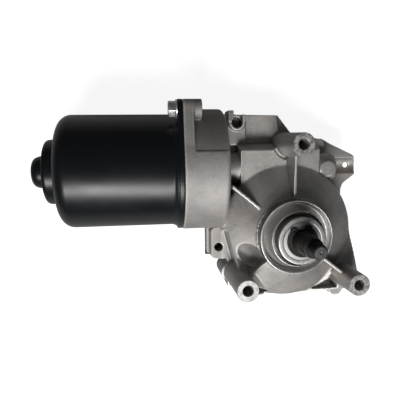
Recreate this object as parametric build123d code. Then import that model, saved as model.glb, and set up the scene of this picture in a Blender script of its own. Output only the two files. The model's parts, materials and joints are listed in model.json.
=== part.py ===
"""Wiper motor: worm-geared motor with a die-cast gear housing.

While it is built, z = 0 is the plane of the armature's axis and the output shaft points along +Z.
The finished part is lowered by SEAT_Z, so the crank seat on the output shaft is its origin.
+X points away from the motor can, and +Y towards the worm.
"""
from build123d import *
import math
import os

# Gear train
TEETH = 54
MODULE = 1.2
WORM_PITCH_R = 6.0
TOOTH_THICKNESS = 1.58
FLANK_SLOPE = 0.306
WORM_TURNS = 8
WORM_PHASE = -90.0
WHEEL_FACE = 8.0
GEAR_PITCH_R = MODULE * TEETH / 2
AXIS_Y = GEAR_PITCH_R + WORM_PITCH_R
WORM_LEAD = math.pi * MODULE
ADDENDUM = MODULE
DEDENDUM = 1.5

# Clearances
RUN_FIT = 0.04
HELD_FIT = 0.05
FREE_GAP = 0.8

# Motor can
CAN_R = 33.0
CAN_WALL = 2.0
CAN_MOUTH_X = -63.8
CAN_END_X = -134.0
CAN_SHOULDER_R = 8.4
CAN_SHOULDER_LENGTH = 8.6
END_BOSS_R = 18.9
END_BOSS_HEIGHT = 8.4
END_BOSS_ROUND = 4.0
END_NUB_R = 9.4
END_NUB_HEIGHT = 7.9
END_NUB_ROUND = 5.0
CAN_FLANGE_R = 35.5
CAN_FLANGE_THICKNESS = 3.0
SCREW_RADIUS = 41.0
SCREW_ANGLES = (33.0, 230.0)
SCREW_EAR_R = 5.4
CAN_SCREW_R = 2.4
CAN_SCREW_HEAD_R = 4.7
CAN_SCREW_WASHER_R = 5.1
CAN_SCREW_HEAD_HEIGHT = 4.9
CAN_SCREW_LENGTH = 11.0

# Gear housing, motor side
BELL_R = 36.0
BELL_CORNER = 2.4
BELL_RECESS = 0.8
BELL_WALL = 4.5
BELL_FACE_X = -39.1
BELL_STRIP = 5.7
BELL_END_WALL = 3.2
EAR_BOSS_LENGTH = 10.4
NECK_R = 9.8

# Gear housing, drum and tower
REAR_Z = -16.0
DRUM_R = 40.8
DRUM_RIM_Z = 9.8
DRUM_WALL = 4.0
DRUM_EDGE_R = 1.5
TOWER_R = 21.4
TOWER_FOOT_Z = 21.8
TOWER_LIP_Z = 29.1
TOWER_LIP_WIDTH = 0.8
SHOULDER_R = 15.7
SHOULDER_Z = 33.0
SLEEVE_R = 13.3
SLEEVE_TOP_Z = 37.4
SLEEVE_BORE_R = 10.8
SHOULDER_CREST = 0.5
SLEEVE_GROOVE_DEPTH = 3.0
RIB_THICKNESS = 1.8
RIB_TOP_Z = 24.0
SIDE_RIB_TOP_Z = 20.0
SIDE_RIB_ANGLE = 140.5
SIDE_RIB_END_R = 46.0

# Mounting bosses
MOUNT_Z = 35.4
MOUNT_BOSS_R = 6.4
MOUNT_HOLE_R = 3.0
UPPER_MOUNT_DEPTH = 18.0
LEFT_MOUNT_DEPTH = 16.0
RIGHT_MOUNT_DEPTH = 17.0
MOUNT_HOLE_CHAMFER = 0.35
UPPER_MOUNT = (0.6, 52.9)
LEFT_MOUNT = (-29.9, -27.8)
RIGHT_MOUNT = (35.5, -27.8)
BOSS_DRAFT = 1.2
CORNER_R = 10.8
CORNER_TOP_Z = 8.6
LEFT_FLARE_R = 26.0
LEFT_FLARE_RISE = 8.0
RIGHT_FLARE_R = 24.0
RIGHT_FLARE_RISE = 4.0

# Worm tunnel
TUNNEL_LEFT_X = -28.5
TUNNEL_RIGHT_X = 20.3
TUNNEL_TOP_Y = 50.0
TUNNEL_FRONT_Z = 10.0
TUNNEL_SLOPE_Y = 3.4
TUNNEL_SLOPE_Z = 10.0
MOAT_R = 9.3
MOAT_DEPTH = 2.0
END_HOUSING_R = 8.6
END_HOUSING_X = 32.4
END_BORE_R = 6.5
END_WALL = 2.0
END_PAD_R = 5.0

# Upper block, ears and lug
BLOCK_FRONT_Z = -4.0
BLOCK_TOP_Y = 72.0
BLOCK_CORNER_X = -1.0
EYE_BOSS = (-29.0, BLOCK_TOP_Y - 5.4)
EYE_BOSS_R = 5.0
EYE_PAD_X = (-34.6, -23.4)
EYE_OPENING_DEPTH = 6.0
EYE_BOSS_Z = 1.5
EYE_POCKET_R = 3.4
EYE_POCKET_DEPTH = 8.0
EAR_HOLE = (-40.4, -11.4)
EAR_HOLE_R = 2.65
EAR_HOLE_DEPTH = 8.0
EAR_FRONT_Z = -1.5
NOTCH_FLOOR_Z = EAR_FRONT_Z
LOBE_REACH = 2.53
LOBE_ANGLE = 219.57
LOBE_R = 5.8
LOBE_FRONT_Z = 0.9
CUP = (39.9, -44.0)
CUP_R = 5.0
CUP_FRONT_Z = -5.0
CORNER_BOSS = (25.2, 52.0)
CORNER_BOSS_R = 4.2
CORNER_BOSS_Z = -5.0
LUG_FRONT_Z = -11.0
LUG_HOLE = (48.6, 38.6)
LUG_HOLE_R = 1.9
LUG_GROOVE_R = 5.3
LUG_GROOVE_DEPTH = 3.6

# Rear cover
GASKET_THICKNESS = 0.8
COVER_PLATE = 2.5
COVER_LIP = 0.8
COVER_WALL = 2.2
COVER_DOME_INSET = 7.8
COVER_DEPTH = 14.0
COVER_SCREW_R = 1.9
COVER_SCREW_HEAD_R = 4.0
COVER_SCREW_HEAD_HEIGHT = 2.6
COVER_SCREW_LENGTH = 11.0
SOCKET_X = -13.0
SOCKET_WIDTH = 22.0
SOCKET_DEPTH = 10.5
SOCKET_TOP_Y = 69.0
SOCKET_FLOOR_Y = 52.0
SOCKET_WALL = 1.8
BLADE_COUNT = 5
BLADE_PITCH = 3.6
BLADE_WIDTH = 2.4
BLADE_THICKNESS = 0.8
BLADE_LENGTH = 11.0
ISLAND_X = (-27.0, -20.0)
ISLAND_HALF_Y = 9.0
FINGER_PITCH = 6.0
FINGER_WIDTH = 2.4
FINGER_LEAF = 0.4

# Output shaft
SEAT_Z = 40.0
JOURNAL_R = 6.5
SPIGOT_R = 6.3
SPIGOT_TOP_Z = 42.0
TAPER_BASE_R = 6.2
TAPER_TOP_R = 5.5
TAPER_TOP_Z = 53.5
SERRATION_COUNT = 30
SERRATION_DEPTH = 0.35
THREAD_R = 4.0
SHAFT_TIP_Z = 62.8
SHAFT_TIP_R = 2.9
SHAFT_REAR_Z = -9.5
WASHER_R = 10.6
WASHER_THICKNESS = 0.6
CIRCLIP_R = 8.8
CIRCLIP_THICKNESS = 1.2
CIRCLIP_GROOVE = 0.7
CIRCLIP_LUG_R = 1.7
BUSH_LENGTH = 10.0
BUSH_SINK = 0.4

# Worm wheel
WHEEL_RIM = 4.0
WHEEL_WEB = 3.0
WHEEL_HUB_R = 12.0
WHEEL_HUB_TOP_Z = 6.0
WHEEL_HUB_REAR_Z = -6.5
WHEEL_RIBS = 6
INSERT_R = 9.5
INSERT_THICKNESS = 3.0
PARK_DISC_R = 26.0
PARK_DISC_THICKNESS = 0.6
PARK_DISC_BORE_R = 14.0

# Armature
SHAFT_R = 4.0
SHAFT_LEFT_X = -146.6
SHAFT_RIGHT_X = 27.3
CORE_R = 24.7
CORE_LEFT_X = -121.0
CORE_RIGHT_X = -79.0
CORE_SLOTS = 12
CORE_SLOT_WIDTH = 2.4
CORE_SLOT_DEPTH = 7.0
WINDING_R = 21.5
WINDING_INNER_R = 9.0
WINDING_LENGTH = 9.0
COMMUTATOR_R = 11.0
COMMUTATOR_LEFT_X = -68.0
COMMUTATOR_RIGHT_X = -49.0
COMMUTATOR_BARS = 12
COMMUTATOR_SLOT = 0.7
BALL_R = 2.0
BALL_SINK = 0.6

# Magnets and brush gear
MAGNET_THICKNESS = 5.6
MAGNET_ARC = 124.0
MAGNET_LEFT_X = -125.0
MAGNET_RIGHT_X = -75.0
CLIP_THICKNESS = 1.0
CLIP_INSET = 8.0
PLATE_THICKNESS = 2.5
PLATE_X = -60.5
PLATE_BORE_R = 13.0
BRUSH_ANGLES = (20.0, 140.0, 200.0)
BRUSH_WIDTH = 5.0
BRUSH_HEIGHT = 7.0
BRUSH_LENGTH = 8.0
BRUSH_GAP = 0.2
BOX_WALL = 0.6
BOX_EDGE_GAP = 3.85
BOX_START = 1.4
SPRING_FOLDS = 5
SPRING_LEAF = 0.4
SPRING_WIDTH = 3.6
CHOKE_R = 2.6
CHOKE_LENGTH = 11.0
COIL_LENGTH = 9.0
CHOKE_ANGLES = (75.0, 285.0)
CHOKE_INSET = 9.45
BREAKER_SIZE = (7.0, 11.0, 5.0)
BREAKER_ANGLE = 330.0
CAN_BUSH_LENGTH = 4.6
FRONT_BUSH_LENGTH = 7.0
END_BUSH_LENGTH = 8.0
THRUST_PAD = 1.4

os.makedirs("parts", exist_ok=True)


def export(name, shape):
    """Write one node, lowered so that the crank seat is the origin."""
    export_step(Pos(0, 0, -SEAT_Z) * shape, f"parts/{name}.step")


def disc(centre, z_low, z_high, radius):
    return Pos(centre[0], centre[1], (z_low + z_high) / 2) * Cylinder(radius, z_high - z_low)


def bar(x_low, x_high, radius):
    """Round bar on the armature's axis."""
    return Pos((x_low + x_high) / 2, AXIS_Y, 0) * Rot(0, 90, 0) * Cylinder(radius, x_high - x_low)


def ring(centre, z_low, z_high, radius, bore):
    return disc(centre, z_low, z_high, radius) - disc(centre, z_low - 1, z_high + 1, bore)


def sleeve(x_low, x_high, radius, bore):
    return bar(x_low, x_high, radius) - bar(x_low - 1, x_high + 1, bore)


def block(x, y, z):
    """Box between two limits along each axis."""
    centre = Pos((x[0] + x[1]) / 2, (y[0] + y[1]) / 2, (z[0] + z[1]) / 2)
    return centre * Box(x[1] - x[0], y[1] - y[0], z[1] - z[0])


def around_axis(radius, angle):
    """Point in the y-z plane, the angle counted from +Y towards the viewer."""
    turn = math.radians(angle)
    return AXIS_Y + radius * math.cos(turn), radius * math.sin(turn)


def spun_about_motor(points):
    """Revolve an (x, radius) outline about the armature's axis."""
    profile = make_face(Polyline(*[(x, r) for x, r in points], close=True))
    return Pos(0, AXIS_Y, 0) * revolve(profile, Axis.X)


def prism(points, z_low, z_high):
    """Straight-sided plate from an outline in the x-y plane."""
    outline = make_face(Polyline(*points, close=True))
    return extrude(Pos(0, 0, z_low) * outline, z_high - z_low)


def rounded(shape, radius):
    """Round the upright edges of a straight-sided plate."""
    return fillet(shape.edges().filter_by(Axis.Z), radius)


def solids(*shapes):
    """Separate solids in one node."""
    pieces = []
    for shape in shapes:
        pieces += list(shape.solids())
    return Compound(pieces)


# Motor can

def can_outline(inset):
    """Closed (x, radius) section of the can's body, its boss and nub, inset by the wall."""
    boss_x = CAN_END_X - END_BOSS_HEIGHT + inset
    nub_x = boss_x - END_NUB_HEIGHT
    end_x = CAN_END_X + inset
    radius = CAN_R - inset
    boss_r = END_BOSS_R - inset
    nub_r = END_NUB_R - inset
    shoulder_x = CAN_END_X + CAN_SHOULDER_LENGTH
    shoulder_r = CAN_R - CAN_SHOULDER_R
    boss_round_x = boss_x + END_BOSS_ROUND
    nub_round_x = nub_x + END_NUB_ROUND
    nub_flat = nub_r / 2
    return make_face([
        Polyline((CAN_MOUTH_X, 0), (CAN_MOUTH_X, radius), (shoulder_x, radius)),
        Bezier((shoulder_x, radius), (end_x + 1.0, radius), (end_x, shoulder_r + 6.0), (end_x, shoulder_r)),
        Polyline((end_x, shoulder_r), (end_x, boss_r), (boss_round_x, boss_r)),
        Bezier((boss_round_x, boss_r), (boss_x, boss_r), (boss_x, boss_r - END_BOSS_ROUND)),
        Polyline((boss_x, boss_r - END_BOSS_ROUND), (boss_x, nub_r), (nub_round_x, nub_r)),
        Bezier((nub_round_x, nub_r), (nub_x, nub_r), (nub_x, nub_flat)),
        Polyline((nub_x, nub_flat), (nub_x, 0), (CAN_MOUTH_X, 0)),
    ])


def flange_plate(x_low, x_high, radius):
    """Round flange with two screw ears on the armature's axis."""
    plate = bar(x_low, x_high, radius)
    for angle in SCREW_ANGLES:
        y, z = around_axis(SCREW_RADIUS, angle)
        ear = Pos((x_low + x_high) / 2, y, z) * Rot(0, 90, 0) * Cylinder(SCREW_EAR_R, x_high - x_low)
        plate += ear + ear_web(x_low, x_high, radius, angle)
    return plate


def ear_web(x_low, x_high, radius, angle):
    """Web whose edges run as tangents from the flange to its screw ear."""
    spread = math.acos((radius - SCREW_EAR_R) / SCREW_RADIUS)
    along, across = math.cos(spread), math.sin(spread)
    foot = (radius * along, radius * across)
    tip = (SCREW_RADIUS + SCREW_EAR_R * along, SCREW_EAR_R * across)
    outline = Polyline((0, 0), foot, tip, (tip[0], -tip[1]), (foot[0], -foot[1]), close=True)
    web = extrude(Plane.YZ.offset(x_low) * make_face(outline), x_high - x_low)
    return Pos(0, AXIS_Y, 0) * Rot(angle, 0, 0) * web


def screw_holes(x_low, x_high, radius):
    holes = []
    for angle in SCREW_ANGLES:
        y, z = around_axis(SCREW_RADIUS, angle)
        holes.append(Pos((x_low + x_high) / 2, y, z) * Rot(0, 90, 0) * Cylinder(radius, x_high - x_low))
    return holes


def motor_can():
    outer = Pos(0, AXIS_Y, 0) * revolve(can_outline(0), Axis.X)
    outer += flange_plate(CAN_MOUTH_X - CAN_FLANGE_THICKNESS, CAN_MOUTH_X, CAN_FLANGE_R)
    outer += spun_about_motor([
        (CAN_MOUTH_X - CAN_FLANGE_THICKNESS - 2.2, CAN_R - 1),
        (CAN_MOUTH_X - CAN_FLANGE_THICKNESS - 2.2, CAN_R),
        (CAN_MOUTH_X - CAN_FLANGE_THICKNESS, CAN_R + 1.3),
        (CAN_MOUTH_X - CAN_FLANGE_THICKNESS + 0.5, CAN_R - 1),
    ])
    outer -= Pos(0, AXIS_Y, 0) * revolve(can_outline(CAN_WALL), Axis.X)
    for hole in screw_holes(CAN_MOUTH_X - 10, CAN_MOUTH_X + 1, CAN_SCREW_R + 0.25):
        outer -= hole
    seat_x = CAN_MOUTH_X - CAN_FLANGE_THICKNESS
    for spot in screw_holes(seat_x - 6, seat_x, CAN_SCREW_WASHER_R + HELD_FIT):
        outer -= spot
    return outer


def can_screws():
    """Hex washer-head screws that hold the can on the housing."""
    seat_x = CAN_MOUTH_X - CAN_FLANGE_THICKNESS
    screws = []
    for angle in SCREW_ANGLES:
        y, z = around_axis(SCREW_RADIUS, angle)
        washer = Pos(-0.6, 0, 0) * Rot(0, 90, 0) * Cylinder(CAN_SCREW_WASHER_R, 1.2)
        hexagon = extrude(Plane.YZ * RegularPolygon(CAN_SCREW_HEAD_R, 6), -CAN_SCREW_HEAD_HEIGHT)
        crown = Pos(-CAN_SCREW_HEAD_HEIGHT / 2, 0, 0) * Rot(0, 90, 0) * Cylinder(CAN_SCREW_HEAD_R - 0.25,
                                                                                CAN_SCREW_HEAD_HEIGHT)
        shank = Pos(CAN_SCREW_LENGTH / 2, 0, 0) * Rot(0, 90, 0) * Cylinder(CAN_SCREW_R, CAN_SCREW_LENGTH)
        screws.append(Pos(seat_x, y, z) * (washer + (hexagon & crown) + shank))
    return solids(*screws)


# Gear housing

def drum_and_tower():
    """Round gear case with its conical front and the stepped bearing tower."""
    lip_r = TOWER_R - TOWER_LIP_WIDTH
    outline = [
        Polyline((0, REAR_Z), (DRUM_R, REAR_Z), (DRUM_R, DRUM_RIM_Z - DRUM_EDGE_R)),
        Bezier((DRUM_R, DRUM_RIM_Z - DRUM_EDGE_R), (DRUM_R, DRUM_RIM_Z),
               (DRUM_R - DRUM_EDGE_R, DRUM_RIM_Z + DRUM_EDGE_R * 0.6)),
        Polyline((DRUM_R - DRUM_EDGE_R, DRUM_RIM_Z + DRUM_EDGE_R * 0.6), (TOWER_R + 2.0, TOWER_FOOT_Z - 0.8)),
        Bezier((TOWER_R + 2.0, TOWER_FOOT_Z - 0.8), (TOWER_R, TOWER_FOOT_Z), (TOWER_R, TOWER_FOOT_Z + 2.0)),
        Polyline((TOWER_R, TOWER_FOOT_Z + 2.0), (TOWER_R, TOWER_LIP_Z), (lip_r, TOWER_LIP_Z),
                 (lip_r, TOWER_LIP_Z - 0.6)),
        Bezier((lip_r, TOWER_LIP_Z - 0.6), (SHOULDER_R + 2.0, TOWER_LIP_Z + 0.6), (SHOULDER_R, SHOULDER_Z)),
        Polyline((SHOULDER_R, SHOULDER_Z), (SHOULDER_R - SHOULDER_CREST, SHOULDER_Z),
                 (SHOULDER_R - SHOULDER_CREST, SHOULDER_Z - SLEEVE_GROOVE_DEPTH),
                 (SLEEVE_R, SHOULDER_Z - SLEEVE_GROOVE_DEPTH), (SLEEVE_R, SLEEVE_TOP_Z),
                 (0, SLEEVE_TOP_Z), (0, REAR_Z)),
    ]
    section = Plane.XZ * make_face(outline)
    return revolve(section, Axis.Z)


def radial_rib(angle, r_low, r_high, top_z):
    """Thin rib that runs outwards from the tower on the drum's cone."""
    slab = block((r_low, r_high), (-RIB_THICKNESS / 2, RIB_THICKNESS / 2), (REAR_Z / 2, top_z))
    return Rot(0, 0, angle) * slab


def polar(point):
    return math.hypot(point[0], point[1]), math.degrees(math.atan2(point[1], point[0]))


def mount_boss(centre, foot_z):
    """Tall tapered boss whose machined face carries a tapped hole."""
    cone = Cone(MOUNT_BOSS_R + BOSS_DRAFT, MOUNT_BOSS_R, MOUNT_Z - foot_z)
    return Pos(centre[0], centre[1], (MOUNT_Z + foot_z) / 2) * cone


def tangent_web(centre, radius, z_low, z_high, drum_r):
    """Plate that closes the corner between the round drum and a boss."""
    distance, angle = polar(centre)
    spread = math.acos((drum_r - radius) / distance)
    points = []
    for turn in (spread, -spread):
        points.append((drum_r * math.cos(turn), drum_r * math.sin(turn)))
        points.append((distance + radius * math.cos(turn), radius * math.sin(turn)))
    outline = [points[0], points[1], points[3], points[2], (0, 0)]
    return Rot(0, 0, angle) * prism(outline, z_low, z_high) + disc(centre, z_low, z_high, radius)


def worm_tunnel():
    """Box-shaped case of the worm with a sloping upper edge."""
    section = make_face(Polyline(
        (AXIS_Y - 14.0, REAR_Z), (TUNNEL_TOP_Y + TUNNEL_SLOPE_Y, REAR_Z),
        (TUNNEL_TOP_Y + TUNNEL_SLOPE_Y, TUNNEL_FRONT_Z - TUNNEL_SLOPE_Z),
        (TUNNEL_TOP_Y + 0.5, TUNNEL_FRONT_Z - 1.2), (TUNNEL_TOP_Y - 0.4, TUNNEL_FRONT_Z),
        (AXIS_Y - 14.0, TUNNEL_FRONT_Z), close=True))
    length = TUNNEL_RIGHT_X - TUNNEL_LEFT_X
    case = extrude(Plane.YZ.offset(TUNNEL_LEFT_X) * section, length)
    moat = ring(UPPER_MOUNT, TUNNEL_FRONT_Z - MOAT_DEPTH, TUNNEL_FRONT_Z + 5, MOAT_R, MOUNT_BOSS_R)
    return case - moat


def end_bearing_case():
    """Round case of the worm shaft's far bearing, with a flat pad on its front."""
    case = bar(TUNNEL_RIGHT_X - 2, END_HOUSING_X, END_HOUSING_R)
    case = fillet(case.edges().group_by(Axis.X)[-1], 2.0)
    centre_x = (TUNNEL_RIGHT_X + END_HOUSING_X) / 2
    pad = disc((centre_x, AXIS_Y - 0.8), 0, END_HOUSING_R + 0.2, END_PAD_R)
    web = block((TUNNEL_RIGHT_X - 2, END_HOUSING_X - 3), (AXIS_Y - 12, AXIS_Y), (REAR_Z, 0))
    return case + pad + web


def upper_block():
    """Stepped block above the tunnel that carries the connector side of the cover."""
    outline = [
        (BELL_FACE_X - 1, AXIS_Y), (BELL_FACE_X - 1, BLOCK_TOP_Y), (BLOCK_CORNER_X, BLOCK_TOP_Y - 0.8),
        (BLOCK_CORNER_X + 9.0, BLOCK_TOP_Y - 12.0), (CORNER_BOSS[0] + 2.0, CORNER_BOSS[1] + 4.0),
        (CORNER_BOSS[0] + 2.0, AXIS_Y),
    ]
    plate = prism(outline, REAR_Z, BLOCK_FRONT_Z - 4)
    inner = [
        (BELL_FACE_X - 1, AXIS_Y), (BELL_FACE_X - 1, BLOCK_TOP_Y - 0.4), (BLOCK_CORNER_X - 2.0, BLOCK_TOP_Y - 1.0),
        (BLOCK_CORNER_X - 0.5, BLOCK_TOP_Y - 10.0), (BLOCK_CORNER_X - 0.5, AXIS_Y),
    ]
    step = prism(inner, REAR_Z, BLOCK_FRONT_Z)
    step = fillet(step.edges().filter_by(Axis.Z).group_by(Axis.Y)[-1], 3.5)
    return plate + step


def eye_boss():
    """Screw boss on the upper block whose pocket opens upwards."""
    boss = disc(EYE_BOSS, REAR_Z, EYE_BOSS_Z, EYE_BOSS_R)
    boss += block((EYE_BOSS[0] - EYE_BOSS_R, EYE_BOSS[0] + EYE_BOSS_R), (EYE_BOSS[1], BLOCK_TOP_Y - 0.6),
                  (REAR_Z, EYE_BOSS_Z))
    boss += block(EYE_PAD_X, (EYE_BOSS[1] - 14.0, EYE_BOSS[1]), (REAR_Z, EYE_BOSS_Z - 2.5))
    nub = block((EYE_PAD_X[0], EYE_PAD_X[0] + 4.4), (EYE_BOSS[1], BLOCK_TOP_Y + 1.6), (REAR_Z + 6, EYE_BOSS_Z + 1.0))
    return boss + nub


def eye_pocket():
    pocket = disc(EYE_BOSS, EYE_BOSS_Z - EYE_POCKET_DEPTH, EYE_BOSS_Z + 5, EYE_POCKET_R)
    pocket += block((EYE_BOSS[0] - EYE_POCKET_R + 1.2, EYE_BOSS[0] + EYE_POCKET_R), (EYE_BOSS[1], BLOCK_TOP_Y + 3),
                    (EYE_BOSS_Z - EYE_OPENING_DEPTH, EYE_BOSS_Z + 5))
    return pocket


def lug_outline():
    """Points of the flat lug beyond the far bearing."""
    x, y = LUG_HOLE
    return [
        (TUNNEL_RIGHT_X - 4, y + 18.2), (x - 18.6, y + 17.6), (x - 12.2, y + 14.0), (x + 3.4, y + 6.8),
        (x + 6.0, y + 2.6), (x + 6.4, y - 2.2), (x + 4.9, y - 6.2), (x - 3.2, y - 12.2), (x - 4.4, y - 16.0),
        (x - 4.6, y - 21.0), (TUNNEL_RIGHT_X - 4, y - 21.0),
    ]


def lug():
    plate = prism(lug_outline(), REAR_Z, LUG_FRONT_Z)
    far_edges = [e for e in plate.edges().filter_by(Axis.Z) if e.center().X > LUG_HOLE[0]]
    plate = fillet(far_edges, 1.8)
    groove_z = LUG_FRONT_Z - LUG_GROOVE_DEPTH + LUG_GROOVE_R
    groove = Pos(0, 0, groove_z) * bar(END_HOUSING_X + 1.5, LUG_HOLE[0] + 15, LUG_GROOVE_R)
    return plate - groove - disc(LUG_HOLE, REAR_Z - 1, LUG_FRONT_Z + 1, LUG_HOLE_R)


def left_ear():
    """Small ear with a cored screw hole beside the drum."""
    x, y = EAR_HOLE
    ear = block((x - 4.9, x + 12), (y - 7.6, y + 12.6), (REAR_Z, EAR_FRONT_Z))
    ear = fillet([e for e in ear.edges().filter_by(Axis.Z) if e.center().X < x], 2.6)
    lip = block((x - 7.0, x + 12), (y - 5.6, y + 14.0), (REAR_Z, EAR_FRONT_Z - 7.0))
    lip = fillet([e for e in lip.edges().filter_by(Axis.Z) if e.center().X < x], 2.0)
    return ear + lip


def lobe_centre():
    """Centre of the lobe on the drum's wall below the left mount."""
    turn = math.radians(LOBE_ANGLE)
    reach = DRUM_R + LOBE_REACH
    return reach * math.cos(turn), reach * math.sin(turn)


def lower_corner(centre, web_top_z):
    """Mounting boss with the web and the outer gusset that tie it to the drum."""
    distance, angle = polar(centre)
    corner = tangent_web(centre, CORNER_R, REAR_Z, web_top_z, DRUM_R - 0.3)
    return corner + radial_rib(angle, TOWER_R - 2, distance - 3, RIB_TOP_Z)


def boss_flare(centre, foot_r, rise):
    """Shallow cone that spreads from a lower mounting boss over its corner web."""
    distance = math.hypot(*centre)
    cone = Cone(foot_r, MOUNT_BOSS_R, rise)
    corner = tangent_web(centre, CORNER_R, REAR_Z, MOUNT_Z, DRUM_R - 0.3)
    flare = Pos(centre[0], centre[1], CORNER_TOP_Z + rise / 2) * cone
    return flare & corner & disc(centre, REAR_Z, MOUNT_Z, distance - TOWER_R)


def cup_corner():
    """Rounded screw corner below the right mounting boss."""
    web = [(14.0, -DRUM_R + 8), (20.0, -DRUM_R + 1.5), (CUP[0] - 1.0, CUP[1] - CUP_R + 1.2), (CUP[0] + CUP_R, CUP[1]),
           (RIGHT_MOUNT[0] + CORNER_R, RIGHT_MOUNT[1]), (DRUM_R - 10, -10)]
    plate = prism(web, REAR_Z, CUP_FRONT_Z - 3)
    return plate + disc(CUP, REAR_Z, CUP_FRONT_Z, CUP_R)


def bell():
    """Round motor side of the housing with its screw ears."""
    case = bar(CAN_MOUTH_X, BELL_FACE_X, BELL_R)
    case = fillet(case.edges().group_by(Axis.X)[-1], BELL_CORNER)
    recess = bar(CAN_MOUTH_X + BELL_STRIP, BELL_FACE_X + 1, BELL_R + 2)
    recess -= Pos(0, 0, -BELL_RECESS) * bar(CAN_MOUTH_X, BELL_FACE_X + 2, BELL_R)
    above = block((CAN_MOUTH_X, BELL_FACE_X + 2), (AXIS_Y + 11.5, AXIS_Y + 2 * BELL_R), (0, BELL_R + 2))
    case -= recess & above
    case += flange_plate(CAN_MOUTH_X, CAN_MOUTH_X + BELL_STRIP, CAN_FLANGE_R)
    for angle in SCREW_ANGLES:
        y, z = around_axis(SCREW_RADIUS, angle)
        boss_centre_x = CAN_MOUTH_X + EAR_BOSS_LENGTH / 2
        case += Pos(boss_centre_x, y, z) * Rot(0, 90, 0) * Cylinder(SCREW_EAR_R, EAR_BOSS_LENGTH)
    case += bar(BELL_FACE_X - 1, TUNNEL_LEFT_X + 1, NECK_R)
    return case


def notch_tool():
    """Cut beside the drum and the left mount that clears the ear's screw."""
    edge = Polyline((-60.0, 1.5), (-37.0, 1.5))
    wall = ThreePointArc((-37.0, 1.5), (-33.6, -12.5), (LEFT_MOUNT[0] + 1.0, LEFT_MOUNT[1] + 1.0))
    rest = Polyline((LEFT_MOUNT[0] + 1.0, LEFT_MOUNT[1] + 1.0), (LEFT_MOUNT[0], LEFT_MOUNT[1] - 20.0),
                    (-60.0, LEFT_MOUNT[1] - 20.0), (-60.0, 1.5))
    upper = extrude(Pos(0, 0, NOTCH_FLOOR_Z) * make_face([edge, wall, rest]), 30)
    beside = block((-60, LEFT_MOUNT[0] - 5.0), (LEFT_MOUNT[1] - 20.0, 1.5), (REAR_Z - 1, NOTCH_FLOOR_Z + 1))
    return upper + (beside - disc((0, 0), REAR_Z - 2, NOTCH_FLOOR_Z + 2, DRUM_R - 1.2))


def gear_cavity():
    """Room for the worm wheel, open to the rear, with a conical roof."""
    tip_r = GEAR_PITCH_R + ADDENDUM + FREE_GAP
    roof_z = WHEEL_FACE / 2 + FREE_GAP + 0.4
    core_r = SLEEVE_R + 1.6
    outline = [
        (0, REAR_Z - 1), (tip_r, REAR_Z - 1), (tip_r, roof_z), (core_r + 2, TOWER_FOOT_Z - DRUM_WALL - 1.5),
        (core_r, TOWER_FOOT_Z - DRUM_WALL - 1.5), (core_r, WHEEL_HUB_TOP_Z + WASHER_THICKNESS),
        (0, WHEEL_HUB_TOP_Z + WASHER_THICKNESS),
    ]
    section = Plane.XZ * make_face(Polyline(*outline, close=True))
    return revolve(section, Axis.Z)


def worm_bore():
    """Stepped bore on the armature's axis, from the bell to the far bearing."""
    tunnel_r = WORM_PITCH_R + ADDENDUM + FREE_GAP
    bore = bar(BELL_FACE_X - 10, TUNNEL_RIGHT_X - 1, tunnel_r)
    bore += bar(TUNNEL_RIGHT_X - 2, END_HOUSING_X - END_WALL, END_BORE_R)
    return bore


def bell_cavity():
    wide = bar(CAN_MOUTH_X - 1, PLATE_X + PLATE_THICKNESS, BELL_R - BELL_WALL)
    deep = bar(CAN_MOUTH_X - 1, BELL_FACE_X - BELL_END_WALL, BELL_R - BELL_WALL - 3.0)
    groove = sleeve(CAN_MOUTH_X - 1, CAN_MOUTH_X + 1.2, BELL_R - 1.6, BELL_R - BELL_WALL)
    return wide + deep + groove


def cover_screw_places():
    """Each cover screw's centre and the front of the metal that it enters."""
    return [(EAR_HOLE, EAR_FRONT_Z), (EYE_BOSS, EYE_BOSS_Z), (CUP, CUP_FRONT_Z), (CORNER_BOSS, CORNER_BOSS_Z)]


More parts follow.
